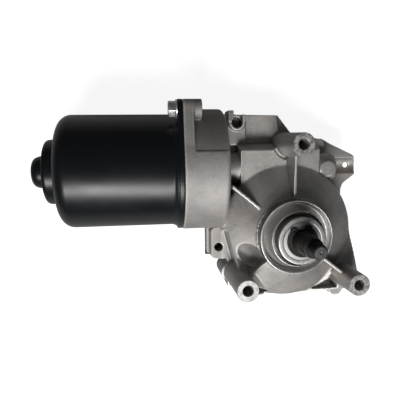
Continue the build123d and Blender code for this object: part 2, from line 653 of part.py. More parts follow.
def gear_housing():
    case = drum_and_tower()
    case += lower_corner(LEFT_MOUNT, CORNER_TOP_Z) + lower_corner(RIGHT_MOUNT, CORNER_TOP_Z)
    case += boss_flare(LEFT_MOUNT, LEFT_FLARE_R, LEFT_FLARE_RISE)
    case += boss_flare(RIGHT_MOUNT, RIGHT_FLARE_R, RIGHT_FLARE_RISE)
    case -= notch_tool()
    case += worm_tunnel()
    case += end_bearing_case()
    case += upper_block() + eye_boss() + disc(CORNER_BOSS, REAR_Z, CORNER_BOSS_Z, CORNER_BOSS_R)
    case += lug()
    case += left_ear() + disc(lobe_centre(), REAR_Z, LOBE_FRONT_Z, LOBE_R)
    case += cup_corner()
    for centre in (UPPER_MOUNT, LEFT_MOUNT, RIGHT_MOUNT):
        case += mount_boss(centre, REAR_Z)
    upper_r, upper_angle = polar(UPPER_MOUNT)
    case += radial_rib(upper_angle, TOWER_R - 2, upper_r - 3, RIB_TOP_Z)
    case += radial_rib(SIDE_RIB_ANGLE, TOWER_R, SIDE_RIB_END_R, SIDE_RIB_TOP_Z)
    case += bell()
    case -= gear_cavity()
    case -= worm_bore()
    case -= bell_cavity()
    case -= eye_pocket()
    case -= disc((0, 0), 0, SLEEVE_TOP_Z + 1, SLEEVE_BORE_R)
    depths = {UPPER_MOUNT: UPPER_MOUNT_DEPTH, LEFT_MOUNT: LEFT_MOUNT_DEPTH, RIGHT_MOUNT: RIGHT_MOUNT_DEPTH}
    for centre, depth in depths.items():
        case -= disc(centre, MOUNT_Z - depth, MOUNT_Z + 1, MOUNT_HOLE_R)
        lead_in = Cone(MOUNT_HOLE_R, MOUNT_HOLE_R + MOUNT_HOLE_CHAMFER, MOUNT_HOLE_CHAMFER)
        case -= Pos(centre[0], centre[1], MOUNT_Z - MOUNT_HOLE_CHAMFER / 2) * lead_in
    case -= disc(EAR_HOLE, EAR_FRONT_Z - EAR_HOLE_DEPTH, EAR_FRONT_Z + 10, EAR_HOLE_R)
    for centre, front_z in cover_screw_places():
        case -= disc(centre, REAR_Z - 1, REAR_Z + COVER_SCREW_LENGTH - COVER_PLATE, COVER_SCREW_R + 0.05)
    for hole in screw_holes(CAN_MOUTH_X - 1, CAN_MOUTH_X + EAR_BOSS_LENGTH - 1, CAN_SCREW_R + 0.05):
        case -= hole
    return case


# Rear cover and its fittings

def cover_footprint(z_low, z_high, lip):
    """Outline that the gasket and the cover share, grown by a lip."""
    plate = disc((0, 0), z_low, z_high, DRUM_R + lip)
    plate += tangent_web(RIGHT_MOUNT, CORNER_R - 2.0 + lip, z_low, z_high, DRUM_R - 2.0 + lip)
    plate += tangent_web(CUP, CUP_R + lip, z_low, z_high, DRUM_R - 2.0 + lip)
    plate += disc(lobe_centre(), z_low, z_high, LOBE_R)
    right_x = CORNER_BOSS[0] + 2.0 + lip
    plate += prism([
        (BELL_FACE_X + 1, AXIS_Y - 20), (BELL_FACE_X + 1, BLOCK_TOP_Y - 1.2), (BLOCK_CORNER_X, BLOCK_TOP_Y - 1.2),
        (BLOCK_CORNER_X + 9.0, BLOCK_TOP_Y - 12.0), (right_x, CORNER_BOSS[1] + 4.0 + lip), (right_x + 6, AXIS_Y + 8),
        (right_x + 6, AXIS_Y - 20),
    ], z_low, z_high)
    ear_x, ear_y = EAR_HOLE
    plate += block((ear_x - 6.8, ear_x + 12), (ear_y - 8.0 - lip, ear_y + 10.0), (z_low, z_high))
    return plate


def bell_room():
    """Space that the cover's pieces leave free round the bell."""
    return bar(CAN_MOUTH_X, BELL_FACE_X + 0.3, BELL_R + 0.3)


def gasket_z():
    return REAR_Z - GASKET_THICKNESS


def cover_screw_holes(z_low, z_high, radius):
    return [disc(centre, z_low, z_high, radius) for centre, _ in cover_screw_places()]


def cover_gasket():
    sheet = cover_footprint(gasket_z(), REAR_Z, -0.6) - bell_room()
    sheet -= disc((0, 0), gasket_z() - 1, REAR_Z + 1, GEAR_PITCH_R + ADDENDUM + FREE_GAP)
    for hole in cover_screw_holes(gasket_z() - 1, REAR_Z + 1, COVER_SCREW_R + 0.3):
        sheet -= hole
    return sheet


def socket_z():
    """Lowest and highest z of the connector's shroud."""
    top_z = gasket_z() - COVER_PLATE + 1.0
    return top_z - SOCKET_DEPTH - 2 * SOCKET_WALL, top_z


def blade_places():
    low_z, high_z = socket_z()
    first = -(BLADE_COUNT - 1) / 2
    return [(SOCKET_X + (first + i) * BLADE_PITCH, (low_z + high_z) / 2) for i in range(BLADE_COUNT)]


def blades(margin):
    """Contact blades of the socket, grown by a margin for their slots."""
    pieces = []
    half_w = BLADE_WIDTH / 2 + margin
    half_t = BLADE_THICKNESS / 2 + margin
    low_y = SOCKET_FLOOR_Y - 5.0 - margin
    for x, z in blade_places():
        pieces.append(block((x - half_w, x + half_w), (low_y, SOCKET_FLOOR_Y + BLADE_LENGTH), (z - half_t, z + half_t)))
    return pieces


def contact_island_z():
    return gasket_z() + 3.0


def rear_cover():
    """Moulded cover with a round dome, a connector socket and the park contacts' island."""
    top_z = gasket_z()
    floor_z = top_z - COVER_DEPTH
    plate = cover_footprint(top_z - COVER_PLATE, top_z, COVER_LIP) - bell_room()
    dome_r = DRUM_R - COVER_DOME_INSET
    dome = Pos(0, 0, (floor_z + top_z) / 2) * Cylinder(dome_r, COVER_DEPTH)
    dome = fillet(dome.edges().group_by(Axis.Z)[0], 3.0)
    low_z, high_z = socket_z()
    half = SOCKET_WIDTH / 2
    shroud = block((SOCKET_X - half, SOCKET_X + half), (AXIS_Y - 12, SOCKET_TOP_Y), (low_z, high_z))
    shroud = fillet(shroud.edges().filter_by(Axis.Y), 2.0)
    cover = plate + dome + shroud
    for angle in range(0, 180, 45):
        rib = block((-dome_r + 4, dome_r - 4), (-1, 1), (floor_z - 1.0, floor_z + 1))
        cover += Rot(0, 0, angle) * rib
    cover -= disc((0, 0), floor_z + COVER_WALL, top_z + 1, dome_r - COVER_WALL)
    inner = half - SOCKET_WALL
    cover -= block((SOCKET_X - inner, SOCKET_X + inner), (SOCKET_FLOOR_Y, SOCKET_TOP_Y + 1),
                   (low_z + SOCKET_WALL, high_z - SOCKET_WALL))
    cover += block(ISLAND_X, (-ISLAND_HALF_Y, ISLAND_HALF_Y), (floor_z + 1, contact_island_z()))
    for blade in blades(0.02):
        cover -= blade
    for hole in cover_screw_holes(top_z - COVER_PLATE - 1, top_z + 1, COVER_SCREW_R + 0.3):
        cover -= hole
    return cover


def cover_screws():
    seat_z = gasket_z() - COVER_PLATE
    screws = []
    for centre, _ in cover_screw_places():
        head = disc(centre, seat_z - COVER_SCREW_HEAD_HEIGHT, seat_z, COVER_SCREW_HEAD_R)
        head = chamfer(head.edges().group_by(Axis.Z)[0], 0.8)
        for turn in (0, 90):
            slot = Box(4.4, 1.0, 1.6)
            head -= Pos(centre[0], centre[1], seat_z - COVER_SCREW_HEAD_HEIGHT) * Rot(0, 0, turn) * slot
        screws.append(head + disc(centre, seat_z, seat_z + COVER_SCREW_LENGTH, COVER_SCREW_R))
    return solids(*screws)


def park_contacts():
    """Three sprung fingers that reach from the cover's island to the contact disc."""
    z = contact_island_z()
    tip_z = -WHEEL_FACE / 2 - PARK_DISC_THICKNESS - 0.25
    fingers = []
    start_x = ISLAND_X[0] + 1.0
    bend_x = ISLAND_X[1] - 0.6
    tip_x = bend_x + 5.0
    for y in (-FINGER_PITCH, 0.0, FINGER_PITCH):
        upper = [(start_x, z), (start_x, z + FINGER_LEAF), (bend_x, z + FINGER_LEAF), (tip_x - 0.8, tip_z),
                 (tip_x, tip_z), (tip_x + 2.0, tip_z - 1.2)]
        lower = [(tip_x + 1.7, tip_z - 1.5), (tip_x - 0.2, tip_z - 0.5), (tip_x - 0.6, tip_z - 0.5),
                 (bend_x + 0.3, z)]
        strip = Plane.XZ.offset(-y + FINGER_WIDTH / 2) * make_face(Polyline(*upper, *lower, close=True))
        fingers.append(extrude(strip, -FINGER_WIDTH))
    return solids(*fingers)


# Output shaft and its bearings

def output_shaft():
    groove_z = washer_top_z()
    section = make_face(Polyline(
        (0, SHAFT_REAR_Z), (JOURNAL_R - 0.5, SHAFT_REAR_Z), (JOURNAL_R, SHAFT_REAR_Z + 0.5),
        (JOURNAL_R, groove_z), (JOURNAL_R - CIRCLIP_GROOVE, groove_z),
        (JOURNAL_R - CIRCLIP_GROOVE, groove_z + CIRCLIP_THICKNESS), (SPIGOT_R, groove_z + CIRCLIP_THICKNESS),
        (SPIGOT_R, SPIGOT_TOP_Z), (TAPER_BASE_R - 0.6, SPIGOT_TOP_Z + 0.6), (TAPER_BASE_R, SPIGOT_TOP_Z + 1.2),
        (TAPER_TOP_R, TAPER_TOP_Z), (THREAD_R, TAPER_TOP_Z),
        (THREAD_R, SHAFT_TIP_Z - (THREAD_R - SHAFT_TIP_R)), (SHAFT_TIP_R, SHAFT_TIP_Z), (0, SHAFT_TIP_Z),
        close=True))
    shaft = revolve(Plane.XZ * section, Axis.Z)
    height = TAPER_TOP_Z - SPIGOT_TOP_Z + 0.4
    lean = math.degrees(math.atan((TAPER_BASE_R - TAPER_TOP_R) / (TAPER_TOP_Z - SPIGOT_TOP_Z - 1.2)))
    middle_r = (TAPER_BASE_R + TAPER_TOP_R) / 2
    middle_z = (SPIGOT_TOP_Z + 1.2 + TAPER_TOP_Z) / 2
    grooves = []
    for i in range(SERRATION_COUNT):
        cutter = Pos(middle_r, 0, middle_z) * Rot(0, -lean, 0) * Rot(0, 0, 45)
        side = SERRATION_DEPTH * math.sqrt(2)
        grooves.append(Rot(0, 0, i * 360 / SERRATION_COUNT) * cutter * Box(side, side, height))
    return shaft - grooves


def washer_top_z():
    return SLEEVE_TOP_Z - BUSH_SINK + WASHER_THICKNESS + RUN_FIT


def output_bush(z_low):
    return ring((0, 0), z_low, z_low + BUSH_LENGTH, SLEEVE_BORE_R - HELD_FIT, JOURNAL_R + RUN_FIT)


def front_washer():
    top_z = washer_top_z()
    return ring((0, 0), top_z - WASHER_THICKNESS, top_z, WASHER_R, JOURNAL_R + 0.1)


def circlip():
    """Open retaining ring with two drilled lugs beside its gap."""
    z_low = washer_top_z() + 0.03
    z_high = z_low + CIRCLIP_THICKNESS - 0.06
    clip = ring((0, 0), z_low, z_high, CIRCLIP_R, JOURNAL_R - CIRCLIP_GROOVE + 0.05)
    gap = prism([(0, 0), (CIRCLIP_R * 3, -CIRCLIP_R), (CIRCLIP_R * 3, CIRCLIP_R)], z_low - 1, z_high + 1)
    clip -= Rot(0, 0, 99) * gap
    for turn in (66, 132):
        a = math.radians(turn)
        centre = ((CIRCLIP_R - 0.6) * math.cos(a), (CIRCLIP_R - 0.6) * math.sin(a))
        clip += disc(centre, z_low, z_high, CIRCLIP_LUG_R)
        clip -= disc(centre, z_low - 1, z_high + 1, 0.7)
    clip -= disc((0, 0), z_low - 1, z_high + 1, JOURNAL_R - CIRCLIP_GROOVE + 0.05)
    return clip


def wheel_washer():
    return ring((0, 0), WHEEL_HUB_TOP_Z, WHEEL_HUB_TOP_Z + WASHER_THICKNESS - 0.1, SLEEVE_R, JOURNAL_R + 0.1)


def tooth_outline(turn):
    """Closed outline of the toothed rim, turned by an angle in degrees."""
    root_r = GEAR_PITCH_R - DEDENDUM
    tip_r = GEAR_PITCH_R + ADDENDUM
    half = TOOTH_THICKNESS / 2
    points = []
    for i in range(TEETH):
        base = math.radians(turn + i * 360 / TEETH)
        for radius, offset in ((root_r, -half - DEDENDUM * FLANK_SLOPE), (tip_r, -half + ADDENDUM * FLANK_SLOPE),
                               (tip_r, half - ADDENDUM * FLANK_SLOPE), (root_r, half + DEDENDUM * FLANK_SLOPE)):
            a = base + offset / radius
            points.append((radius * math.cos(a), radius * math.sin(a)))
    return make_face(Polyline(*points, close=True))


def worm_wheel():
    """Moulded wheel with helical teeth, a webbed disc and a long hub."""
    lead_angle = math.atan(WORM_LEAD / (2 * math.pi * WORM_PITCH_R))
    half_face = WHEEL_FACE / 2
    twist = math.degrees(half_face * math.tan(lead_angle) / GEAR_PITCH_R)
    low = Pos(0, 0, -half_face) * tooth_outline(-twist)
    high = Pos(0, 0, half_face) * tooth_outline(twist)
    wheel = loft([low, high], ruled=True)
    rim_inner = GEAR_PITCH_R - DEDENDUM - WHEEL_RIM
    wheel -= disc((0, 0), -half_face + WHEEL_WEB, half_face + 1, rim_inner)
    wheel += disc((0, 0), WHEEL_HUB_REAR_Z, WHEEL_HUB_TOP_Z, WHEEL_HUB_R)
    for i in range(WHEEL_RIBS):
        angle = i * 360 / WHEEL_RIBS
        wheel += Rot(0, 0, angle) * block((WHEEL_HUB_R - 1, rim_inner + 1), (-1, 1), (-half_face, half_face - 1))
    wheel -= disc((0, 0), WHEEL_HUB_REAR_Z - 1, WHEEL_HUB_TOP_Z + 1, JOURNAL_R + 0.02)
    return wheel


def wheel_insert():
    top_z = WHEEL_HUB_REAR_Z
    return ring((0, 0), top_z - INSERT_THICKNESS, top_z, INSERT_R, JOURNAL_R + 0.02)


def park_disc():
    """Contact disc under the wheel, with the gap that marks the park position."""
    top_z = -WHEEL_FACE / 2
    plate = ring((0, 0), top_z - PARK_DISC_THICKNESS, top_z, PARK_DISC_R, PARK_DISC_BORE_R)
    gap = prism([(0, 0), (40, 7), (40, -7)], top_z - 5, top_z + 5)
    outer = ring((0, 0), top_z - 5, top_z + 5, PARK_DISC_R + 1, PARK_DISC_R - 5)
    return plate - (gap & outer)


# Armature

def worm_thread():
    """Single-start thread whose crest crosses the wheel's mid-plane between two teeth."""
    root_r = WORM_PITCH_R - DEDENDUM - 0.1
    crest_r = WORM_PITCH_R + ADDENDUM
    half = TOOTH_THICKNESS / 2
    root_half = half + (WORM_PITCH_R - root_r) * FLANK_SLOPE
    crest_half = half - ADDENDUM * FLANK_SLOPE
    length = WORM_TURNS * WORM_LEAD
    path = Helix(WORM_LEAD, length, WORM_PITCH_R)
    section = make_face(Polyline((root_r, -root_half), (crest_r, -crest_half), (crest_r, crest_half),
                                 (root_r, root_half), close=True))
    thread = sweep(Plane.XZ * section, path=path, is_frenet=True)
    return Pos(-length / 2, AXIS_Y, 0) * Rot(WORM_PHASE, 0, 0) * Rot(0, 90, 0) * thread


def worm_root_r():
    return WORM_PITCH_R - DEDENDUM


def armature_shaft():
    length = WORM_TURNS * WORM_LEAD
    shaft = bar(SHAFT_LEFT_X, SHAFT_RIGHT_X, SHAFT_R)
    shaft = chamfer(shaft.edges().group_by(Axis.X)[0], 0.5)
    shaft += bar(-length / 2 - 2, length / 2 + 2, worm_root_r())
    shaft += worm_thread()
    pocket = BALL_SINK + BALL_R
    shaft -= bar(SHAFT_LEFT_X - 1, SHAFT_LEFT_X + pocket, BALL_R + 0.03)
    shaft -= bar(SHAFT_RIGHT_X - pocket, SHAFT_RIGHT_X + 1, BALL_R + 0.03)
    return shaft


def armature_core():
    """Stack of laminations with slots for the winding."""
    core = bar(CORE_LEFT_X, CORE_RIGHT_X, CORE_R)
    slot_y = CORE_R - CORE_SLOT_DEPTH / 2 + 1
    middle_x = (CORE_LEFT_X + CORE_RIGHT_X) / 2
    slots = []
    for i in range(CORE_SLOTS):
        slot = Pos(middle_x, slot_y, 0) * Box(CORE_RIGHT_X - CORE_LEFT_X + 2, CORE_SLOT_DEPTH + 2, CORE_SLOT_WIDTH)
        slots.append(Pos(0, AXIS_Y, 0) * Rot(i * 360 / CORE_SLOTS, 0, 0) * slot)
    return core - slots - bar(CORE_LEFT_X - 1, CORE_RIGHT_X + 1, SHAFT_R + 0.02)


def armature_windings():
    """Copper winding: a rounded bundle at each end and a bar in each slot."""
    left = sleeve(CORE_LEFT_X - WINDING_LENGTH, CORE_LEFT_X, WINDING_R, WINDING_INNER_R)
    right = sleeve(CORE_RIGHT_X, CORE_RIGHT_X + WINDING_LENGTH, WINDING_R, WINDING_INNER_R)
    left = chamfer(left.edges().group_by(Axis.X)[0], 2.5)
    right = chamfer(right.edges().group_by(Axis.X)[-1], 2.5)
    winding = left + right
    middle_x = (CORE_LEFT_X + CORE_RIGHT_X) / 2
    bar_depth = CORE_SLOT_DEPTH - 4.2
    bar_y = CORE_R - CORE_SLOT_DEPTH + bar_depth / 2 + 0.1
    for i in range(CORE_SLOTS):
        strand = Pos(middle_x, bar_y, 0) * Box(CORE_RIGHT_X - CORE_LEFT_X + 1, bar_depth, CORE_SLOT_WIDTH - 0.2)
        winding += Pos(0, AXIS_Y, 0) * Rot(i * 360 / CORE_SLOTS, 0, 0) * strand
    return winding


def commutator():
    drum = sleeve(COMMUTATOR_LEFT_X, COMMUTATOR_RIGHT_X, COMMUTATOR_R, SHAFT_R + 0.02)
    riser = sleeve(COMMUTATOR_LEFT_X, COMMUTATOR_LEFT_X + 2.0, COMMUTATOR_R + 1.4, SHAFT_R + 0.02)
    drum += riser
    slots = []
    middle_x = (COMMUTATOR_LEFT_X + COMMUTATOR_RIGHT_X) / 2
    for i in range(COMMUTATOR_BARS):
        slot = Pos(middle_x, COMMUTATOR_R + 0.6, 0) * Box(40, 3.0, COMMUTATOR_SLOT)
        slots.append(Pos(0, AXIS_Y, 0) * Rot(i * 360 / COMMUTATOR_BARS, 0, 0) * slot)
    return drum - slots


def ball_places():
    return SHAFT_LEFT_X + BALL_SINK, SHAFT_RIGHT_X - BALL_SINK


def thrust_balls():
    """A ball sunk in each end of the armature shaft."""
    return solids(*[Pos(x, AXIS_Y, 0) * Sphere(BALL_R) for x in ball_places()])


# Bearings of the armature

def can_bush_r():
    return END_NUB_R - CAN_WALL - HELD_FIT


def can_bush():
    """Sintered bush held in the nub of the can."""
    start_x = CAN_END_X - END_BOSS_HEIGHT - END_NUB_HEIGHT + CAN_WALL + END_NUB_ROUND
    return sleeve(start_x, start_x + CAN_BUSH_LENGTH, can_bush_r(), SHAFT_R + RUN_FIT)


def bush_clip():
    """Spring clip that keeps the bush in the nub."""
    seat_x = CAN_END_X - END_BOSS_HEIGHT + CAN_WALL
    clip = sleeve(seat_x, seat_x + 1.0, END_BOSS_R - CAN_WALL - END_BOSS_ROUND, can_bush_r() + HELD_FIT)
    for i in range(6):
        slot = Pos(seat_x + 0.5, can_bush_r(), 0) * Box(3, 5.0, 1.4)
        clip -= Pos(0, AXIS_Y, 0) * Rot(i * 60, 0, 0) * slot
    return clip


def front_bush():
    start_x = BELL_FACE_X + 0.8
    tunnel_r = WORM_PITCH_R + ADDENDUM + FREE_GAP
    return sleeve(start_x, start_x + FRONT_BUSH_LENGTH, tunnel_r - HELD_FIT, SHAFT_R + RUN_FIT)


def end_bush():
    end_x = END_HOUSING_X - END_WALL - THRUST_PAD - HELD_FIT
    return sleeve(end_x - END_BUSH_LENGTH, end_x, END_BORE_R - HELD_FIT, SHAFT_R + RUN_FIT)


def thrust_pad():
    end_x = END_HOUSING_X - END_WALL
    return bar(end_x - THRUST_PAD, end_x, END_BORE_R - HELD_FIT)


# Magnets and brush gear

def arc_segment(x_low, x_high, radius, bore, angle, spread):
    """Curved segment of a sleeve about the armature's axis, centred on an angle."""
    shell = Pos(0, -AXIS_Y, 0) * sleeve(x_low, x_high, radius, bore)
    half = math.radians(spread / 2)
    reach = radius * 3
    wedge = make_face(Polyline((0, 0), (reach * math.cos(half), -reach * math.sin(half)), (reach, 0),
                               (reach * math.cos(half), reach * math.sin(half)), close=True))
    sector = extrude(Plane.YZ.offset(x_low - 1) * wedge, x_high - x_low + 2)
    return Pos(0, AXIS_Y, 0) * Rot(angle, 0, 0) * (shell & sector)


def magnets():
    bore = CAN_R - CAN_WALL
    pair = []
    for angle in (90, 270):
        pair.append(arc_segment(MAGNET_LEFT_X, MAGNET_RIGHT_X, bore - 0.02, bore - MAGNET_THICKNESS, angle,
                                MAGNET_ARC))
    return solids(*pair)


def magnet_clips():
    bore = CAN_R - CAN_WALL
    pair = []
    for angle in (0, 180):
        pair.append(arc_segment(MAGNET_LEFT_X + CLIP_INSET, MAGNET_RIGHT_X - CLIP_INSET, bore - 0.02,
                                bore - CLIP_THICKNESS, angle,
                                180 - MAGNET_ARC - 0.4))
    return solids(*pair)


def can_seal():
    return sleeve(CAN_MOUTH_X, CAN_MOUTH_X + 1.15, BELL_R - 1.65, BELL_R - BELL_WALL + 0.05)


def on_plate(shape, angle):
    """Turn a piece made beside +Y about the armature's axis."""
    return Pos(0, AXIS_Y, 0) * Rot(angle, 0, 0) * shape


def plate_r():
    return BELL_R - BELL_WALL - HELD_FIT


def choke_radius():
    return plate_r() - CHOKE_INSET


def box_length():
    """Length of the brush boxes, which stop short of the plate's edge."""
    return plate_r() - BOX_EDGE_GAP - brush_seat()[0] - BOX_START


def brush_plate():
    plate = sleeve(PLATE_X, PLATE_X + PLATE_THICKNESS, plate_r(), PLATE_BORE_R)
    for angle in CHOKE_ANGLES:
        hole = Pos(PLATE_X, choke_radius(), 0) * Rot(0, 90, 0) * Cylinder(CHOKE_R - 0.6, 20)
        plate -= on_plate(hole, angle)
    return plate


def brush_seat():
    """Start of the brushes beyond the commutator, and of their boxes beyond the plate."""
    return COMMUTATOR_R + BRUSH_GAP, PLATE_X + PLATE_THICKNESS


def brush_boxes():
    first_r, face_x = brush_seat()
    length = box_length()
    boxes = []
    for angle in BRUSH_ANGLES:
        low_y = first_r + BOX_START
        size_z = BRUSH_WIDTH + 2 * BOX_WALL + 0.2
        size_x = BRUSH_HEIGHT + 2 * BOX_WALL + 0.2
        shell = Pos(face_x + size_x / 2, low_y + length / 2, 0) * Box(size_x, length, size_z)
        hollow = Pos(face_x + size_x / 2, low_y + length / 2 - BOX_WALL, 0) * Box(
            BRUSH_HEIGHT + 0.2, length, BRUSH_WIDTH + 0.2)
        boxes.append(on_plate(shell - hollow, angle))
    return solids(*boxes)


def brushes():
    first_r, face_x = brush_seat()
    middle_x = face_x + BOX_WALL + 0.1 + BRUSH_HEIGHT / 2
    blocks = []
    for angle in BRUSH_ANGLES:
        carbon = Pos(middle_x, first_r + BRUSH_LENGTH / 2, 0) * Box(BRUSH_HEIGHT, BRUSH_LENGTH, BRUSH_WIDTH)
        blocks.append(on_plate(carbon, angle))
    return solids(*blocks)


def brush_springs():
    """Folded leaf spring between each brush and the end of its box."""
    first_r, face_x = brush_seat()
    middle_x = face_x + BOX_WALL + 0.1 + BRUSH_HEIGHT / 2
    start_y = first_r + BRUSH_LENGTH
    length = first_r + BOX_START + box_length() - BOX_WALL - start_y
    half = BRUSH_WIDTH / 2 - 0.6
    fold = (length - 2 * SPRING_LEAF) / SPRING_FOLDS
    points = []
    for i in range(SPRING_FOLDS + 1):
        points.append((start_y + SPRING_LEAF + i * fold, half if i % 2 else -half))
    leaf = trace(Polyline(*points), SPRING_LEAF)
    strip = extrude(Plane.YZ.offset(middle_x - SPRING_WIDTH / 2) * leaf, SPRING_WIDTH)
    return solids(*[on_plate(strip, angle) for angle in BRUSH_ANGLES])


def choke_cores():
    rods = []
    for angle in CHOKE_ANGLES:
        rod = Pos(PLATE_X + CHOKE_LENGTH / 2, choke_radius(), 0) * Rot(0, 90, 0) * Cylinder(
            CHOKE_R - 0.65, CHOKE_LENGTH + 4)
        rods.append(on_plate(rod, angle))
    return solids(*rods)


def choke_windings():
    coils = []
    face_x = PLATE_X + PLATE_THICKNESS
    for angle in CHOKE_ANGLES:
        coil = Pos(face_x + COIL_LENGTH / 2, choke_radius(), 0) * Rot(0, 90, 0) * (
            Cylinder(CHOKE_R, COIL_LENGTH) - Cylinder(CHOKE_R - 0.6, 20))
        coils.append(on_plate(coil, angle))
    return solids(*coils)


def thermal_breaker():
    face_x = PLATE_X + PLATE_THICKNESS
    body = Pos(face_x + BREAKER_SIZE[0] / 2, choke_radius() - 1, 0) * Box(*BREAKER_SIZE)
    body = fillet(body.edges().filter_by(Axis.X), 0.8)
    return on_plate(body, BREAKER_ANGLE)


def main():
    export("motor_can", motor_can())
    export("can_screws", can_screws())
    export("can_seal", can_seal())
    export("gear_housing", gear_housing())
    export("cover_gasket", cover_gasket())
    export("rear_cover", rear_cover())
    export("cover_screws", cover_screws())
    export("connector_terminals", solids(*blades(0)))
    export("park_contacts", park_contacts())
    export("output_shaft", output_shaft())
    export("output_bush_front", output_bush(SLEEVE_TOP_Z - BUSH_SINK - BUSH_LENGTH))
    export("output_bush_rear", output_bush(WHEEL_HUB_TOP_Z + WASHER_THICKNESS + 0.1))
    export("front_washer", front_washer())
    export("circlip", circlip())
    export("wheel_washer", wheel_washer())
    export("worm_wheel", worm_wheel())
    export("wheel_insert", wheel_insert())
    export("park_disc", park_disc())
    export("armature_shaft", armature_shaft())
    export("armature_core", armature_core())
    export("armature_windings", armature_windings())
    export("commutator", commutator())
    export("thrust_balls", thrust_balls())
    export("can_bush", can_bush())
    export("bush_clip", bush_clip())
    export("front_bush", front_bush())
    export("end_bush", end_bush())
    export("thrust_pad", thrust_pad())
    export("magnets", magnets())
    export("magnet_clips", magnet_clips())
    export("brush_plate", brush_plate())
    export("brush_boxes", brush_boxes())
    export("brushes", brushes())
    export("brush_springs", brush_springs())
    export("choke_cores", choke_cores())
    export("choke_windings", choke_windings())
    export("thermal_breaker", thermal_breaker())


main()
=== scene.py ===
"""Looks of the wiper motor: castings, painted can, machined faces, fasteners and studio.

Lengths in the making of pieces are millimetres in the part's own frame: the origin is the crank seat,
+Z runs out along the output shaft, +Y towards the armature and +X away from the can.
"""
import json
import math

import bmesh
import bpy
from mathutils import Matrix, Vector


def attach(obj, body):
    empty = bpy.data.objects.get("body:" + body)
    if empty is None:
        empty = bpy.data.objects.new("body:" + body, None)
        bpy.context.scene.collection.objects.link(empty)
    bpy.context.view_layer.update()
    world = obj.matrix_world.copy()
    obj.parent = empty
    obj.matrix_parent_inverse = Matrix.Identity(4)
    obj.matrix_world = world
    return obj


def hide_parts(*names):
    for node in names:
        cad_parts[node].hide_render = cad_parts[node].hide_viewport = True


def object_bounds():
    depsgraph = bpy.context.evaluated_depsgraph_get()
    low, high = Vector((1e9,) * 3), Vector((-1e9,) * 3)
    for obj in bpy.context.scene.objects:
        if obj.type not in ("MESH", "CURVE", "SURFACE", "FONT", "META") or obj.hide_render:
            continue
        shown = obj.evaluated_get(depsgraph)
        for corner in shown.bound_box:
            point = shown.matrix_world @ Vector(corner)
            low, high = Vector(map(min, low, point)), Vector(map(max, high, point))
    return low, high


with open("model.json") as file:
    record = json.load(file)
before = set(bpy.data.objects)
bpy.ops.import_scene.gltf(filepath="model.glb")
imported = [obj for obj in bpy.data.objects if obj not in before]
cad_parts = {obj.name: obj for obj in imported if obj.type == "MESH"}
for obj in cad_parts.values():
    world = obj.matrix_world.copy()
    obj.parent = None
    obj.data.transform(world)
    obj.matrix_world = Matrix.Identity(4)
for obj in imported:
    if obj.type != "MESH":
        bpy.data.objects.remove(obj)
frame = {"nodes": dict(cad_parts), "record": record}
cad_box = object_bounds()

MM = 0.001
AXIS_Y = 38.4
AXIS_Z = -40.0
ROUND_STEPS = 128

CAN_MOUTH_X = -63.8
FLANGE_THICKNESS = 3.0
SCREW_RADIUS = 41.0
SCREW_ANGLES = (33.0, 230.0)
MOUNT_FACE_Z = -4.6
MOUNTS = {"upper": (0.6, 52.9), "left": (-29.9, -27.8), "right": (35.5, -27.8)}
MOUNT_DEPTHS = {"upper": 18.0, "left": 16.0, "right": 17.0}
MOUNT_FACE_R = 6.4
MOUNT_HOLE_R = 3.0
COVER_SEAT_Z = -59.3
EAR_HOLE = (-40.4, -11.4)
EYE_HOLE = (-29.0, 66.6)
COVER_SCREWS = (EAR_HOLE, EYE_HOLE, (39.9, -44.0), (25.2, 52.0))
BELL_FACE_X = -39.0
BELL_RECESS_X = -58.0
BELL_RECESS_Y = 50.0
GROOVE_RADII = (13.4, 15.4)
TOWER_WALL_R = 21.3
SHEET_THICKNESS = 0.65
BRUSH_TRACK_X = (-66.0, -53.0)


# Meshes

def link(name, mesh):
    piece = bpy.data.objects.new(name, mesh)
    bpy.context.scene.collection.objects.link(piece)
    return piece


def finished(bm, name, material, sharp=35.0):
    """Turn a bmesh in millimetres into an object in metres, smooth apart from its sharp edges."""
    bmesh.ops.remove_doubles(bm, verts=bm.verts, dist=0.0005)
    bmesh.ops.recalc_face_normals(bm, faces=bm.faces)
    bmesh.ops.scale(bm, vec=(MM, MM, MM), verts=bm.verts)
    for face in bm.faces:
        face.smooth = True
    for edge in bm.edges:
        if len(edge.link_faces) == 2 and math.degrees(edge.calc_face_angle(0)) > sharp:
            edge.smooth = False
    mesh = bpy.data.meshes.new(name)
    bm.to_mesh(mesh)
    bm.free()
    mesh.materials.append(material)
    return link(name, mesh)


def place(bm, matrix):
    bmesh.ops.transform(bm, matrix=matrix, verts=bm.verts)


def on_armature():
    """Carry a piece made round Z on to the armature's axis, its Z along +X."""
    return Matrix.Translation((0, AXIS_Y, AXIS_Z)) @ Matrix.Rotation(math.pi / 2, 4, "Y")


def around_can(radius, angle):
    """Point beside the armature's axis, the angle counted from +Y towards +Z."""
    turn = math.radians(angle)
    return AXIS_Y + radius * math.cos(turn), AXIS_Z + radius * math.sin(turn)


def outline(bm, points, rounds, closed=True, segments=5):
    """Wire through (radius, height) points whose corners are rounded by an index-to-radius table."""
    verts = [bm.verts.new((x, 0.0, z)) for x, z in points]
    ends = verts[1:] + verts[:1] if closed else verts[1:]
    for start, end in zip(verts, ends):
        bm.edges.new((start, end))
    for index, radius in rounds.items():
        bmesh.ops.bevel(bm, geom=[verts[index]], affect="VERTICES", offset=radius, offset_type="OFFSET",
                        segments=segments, profile=0.5, material=-1)


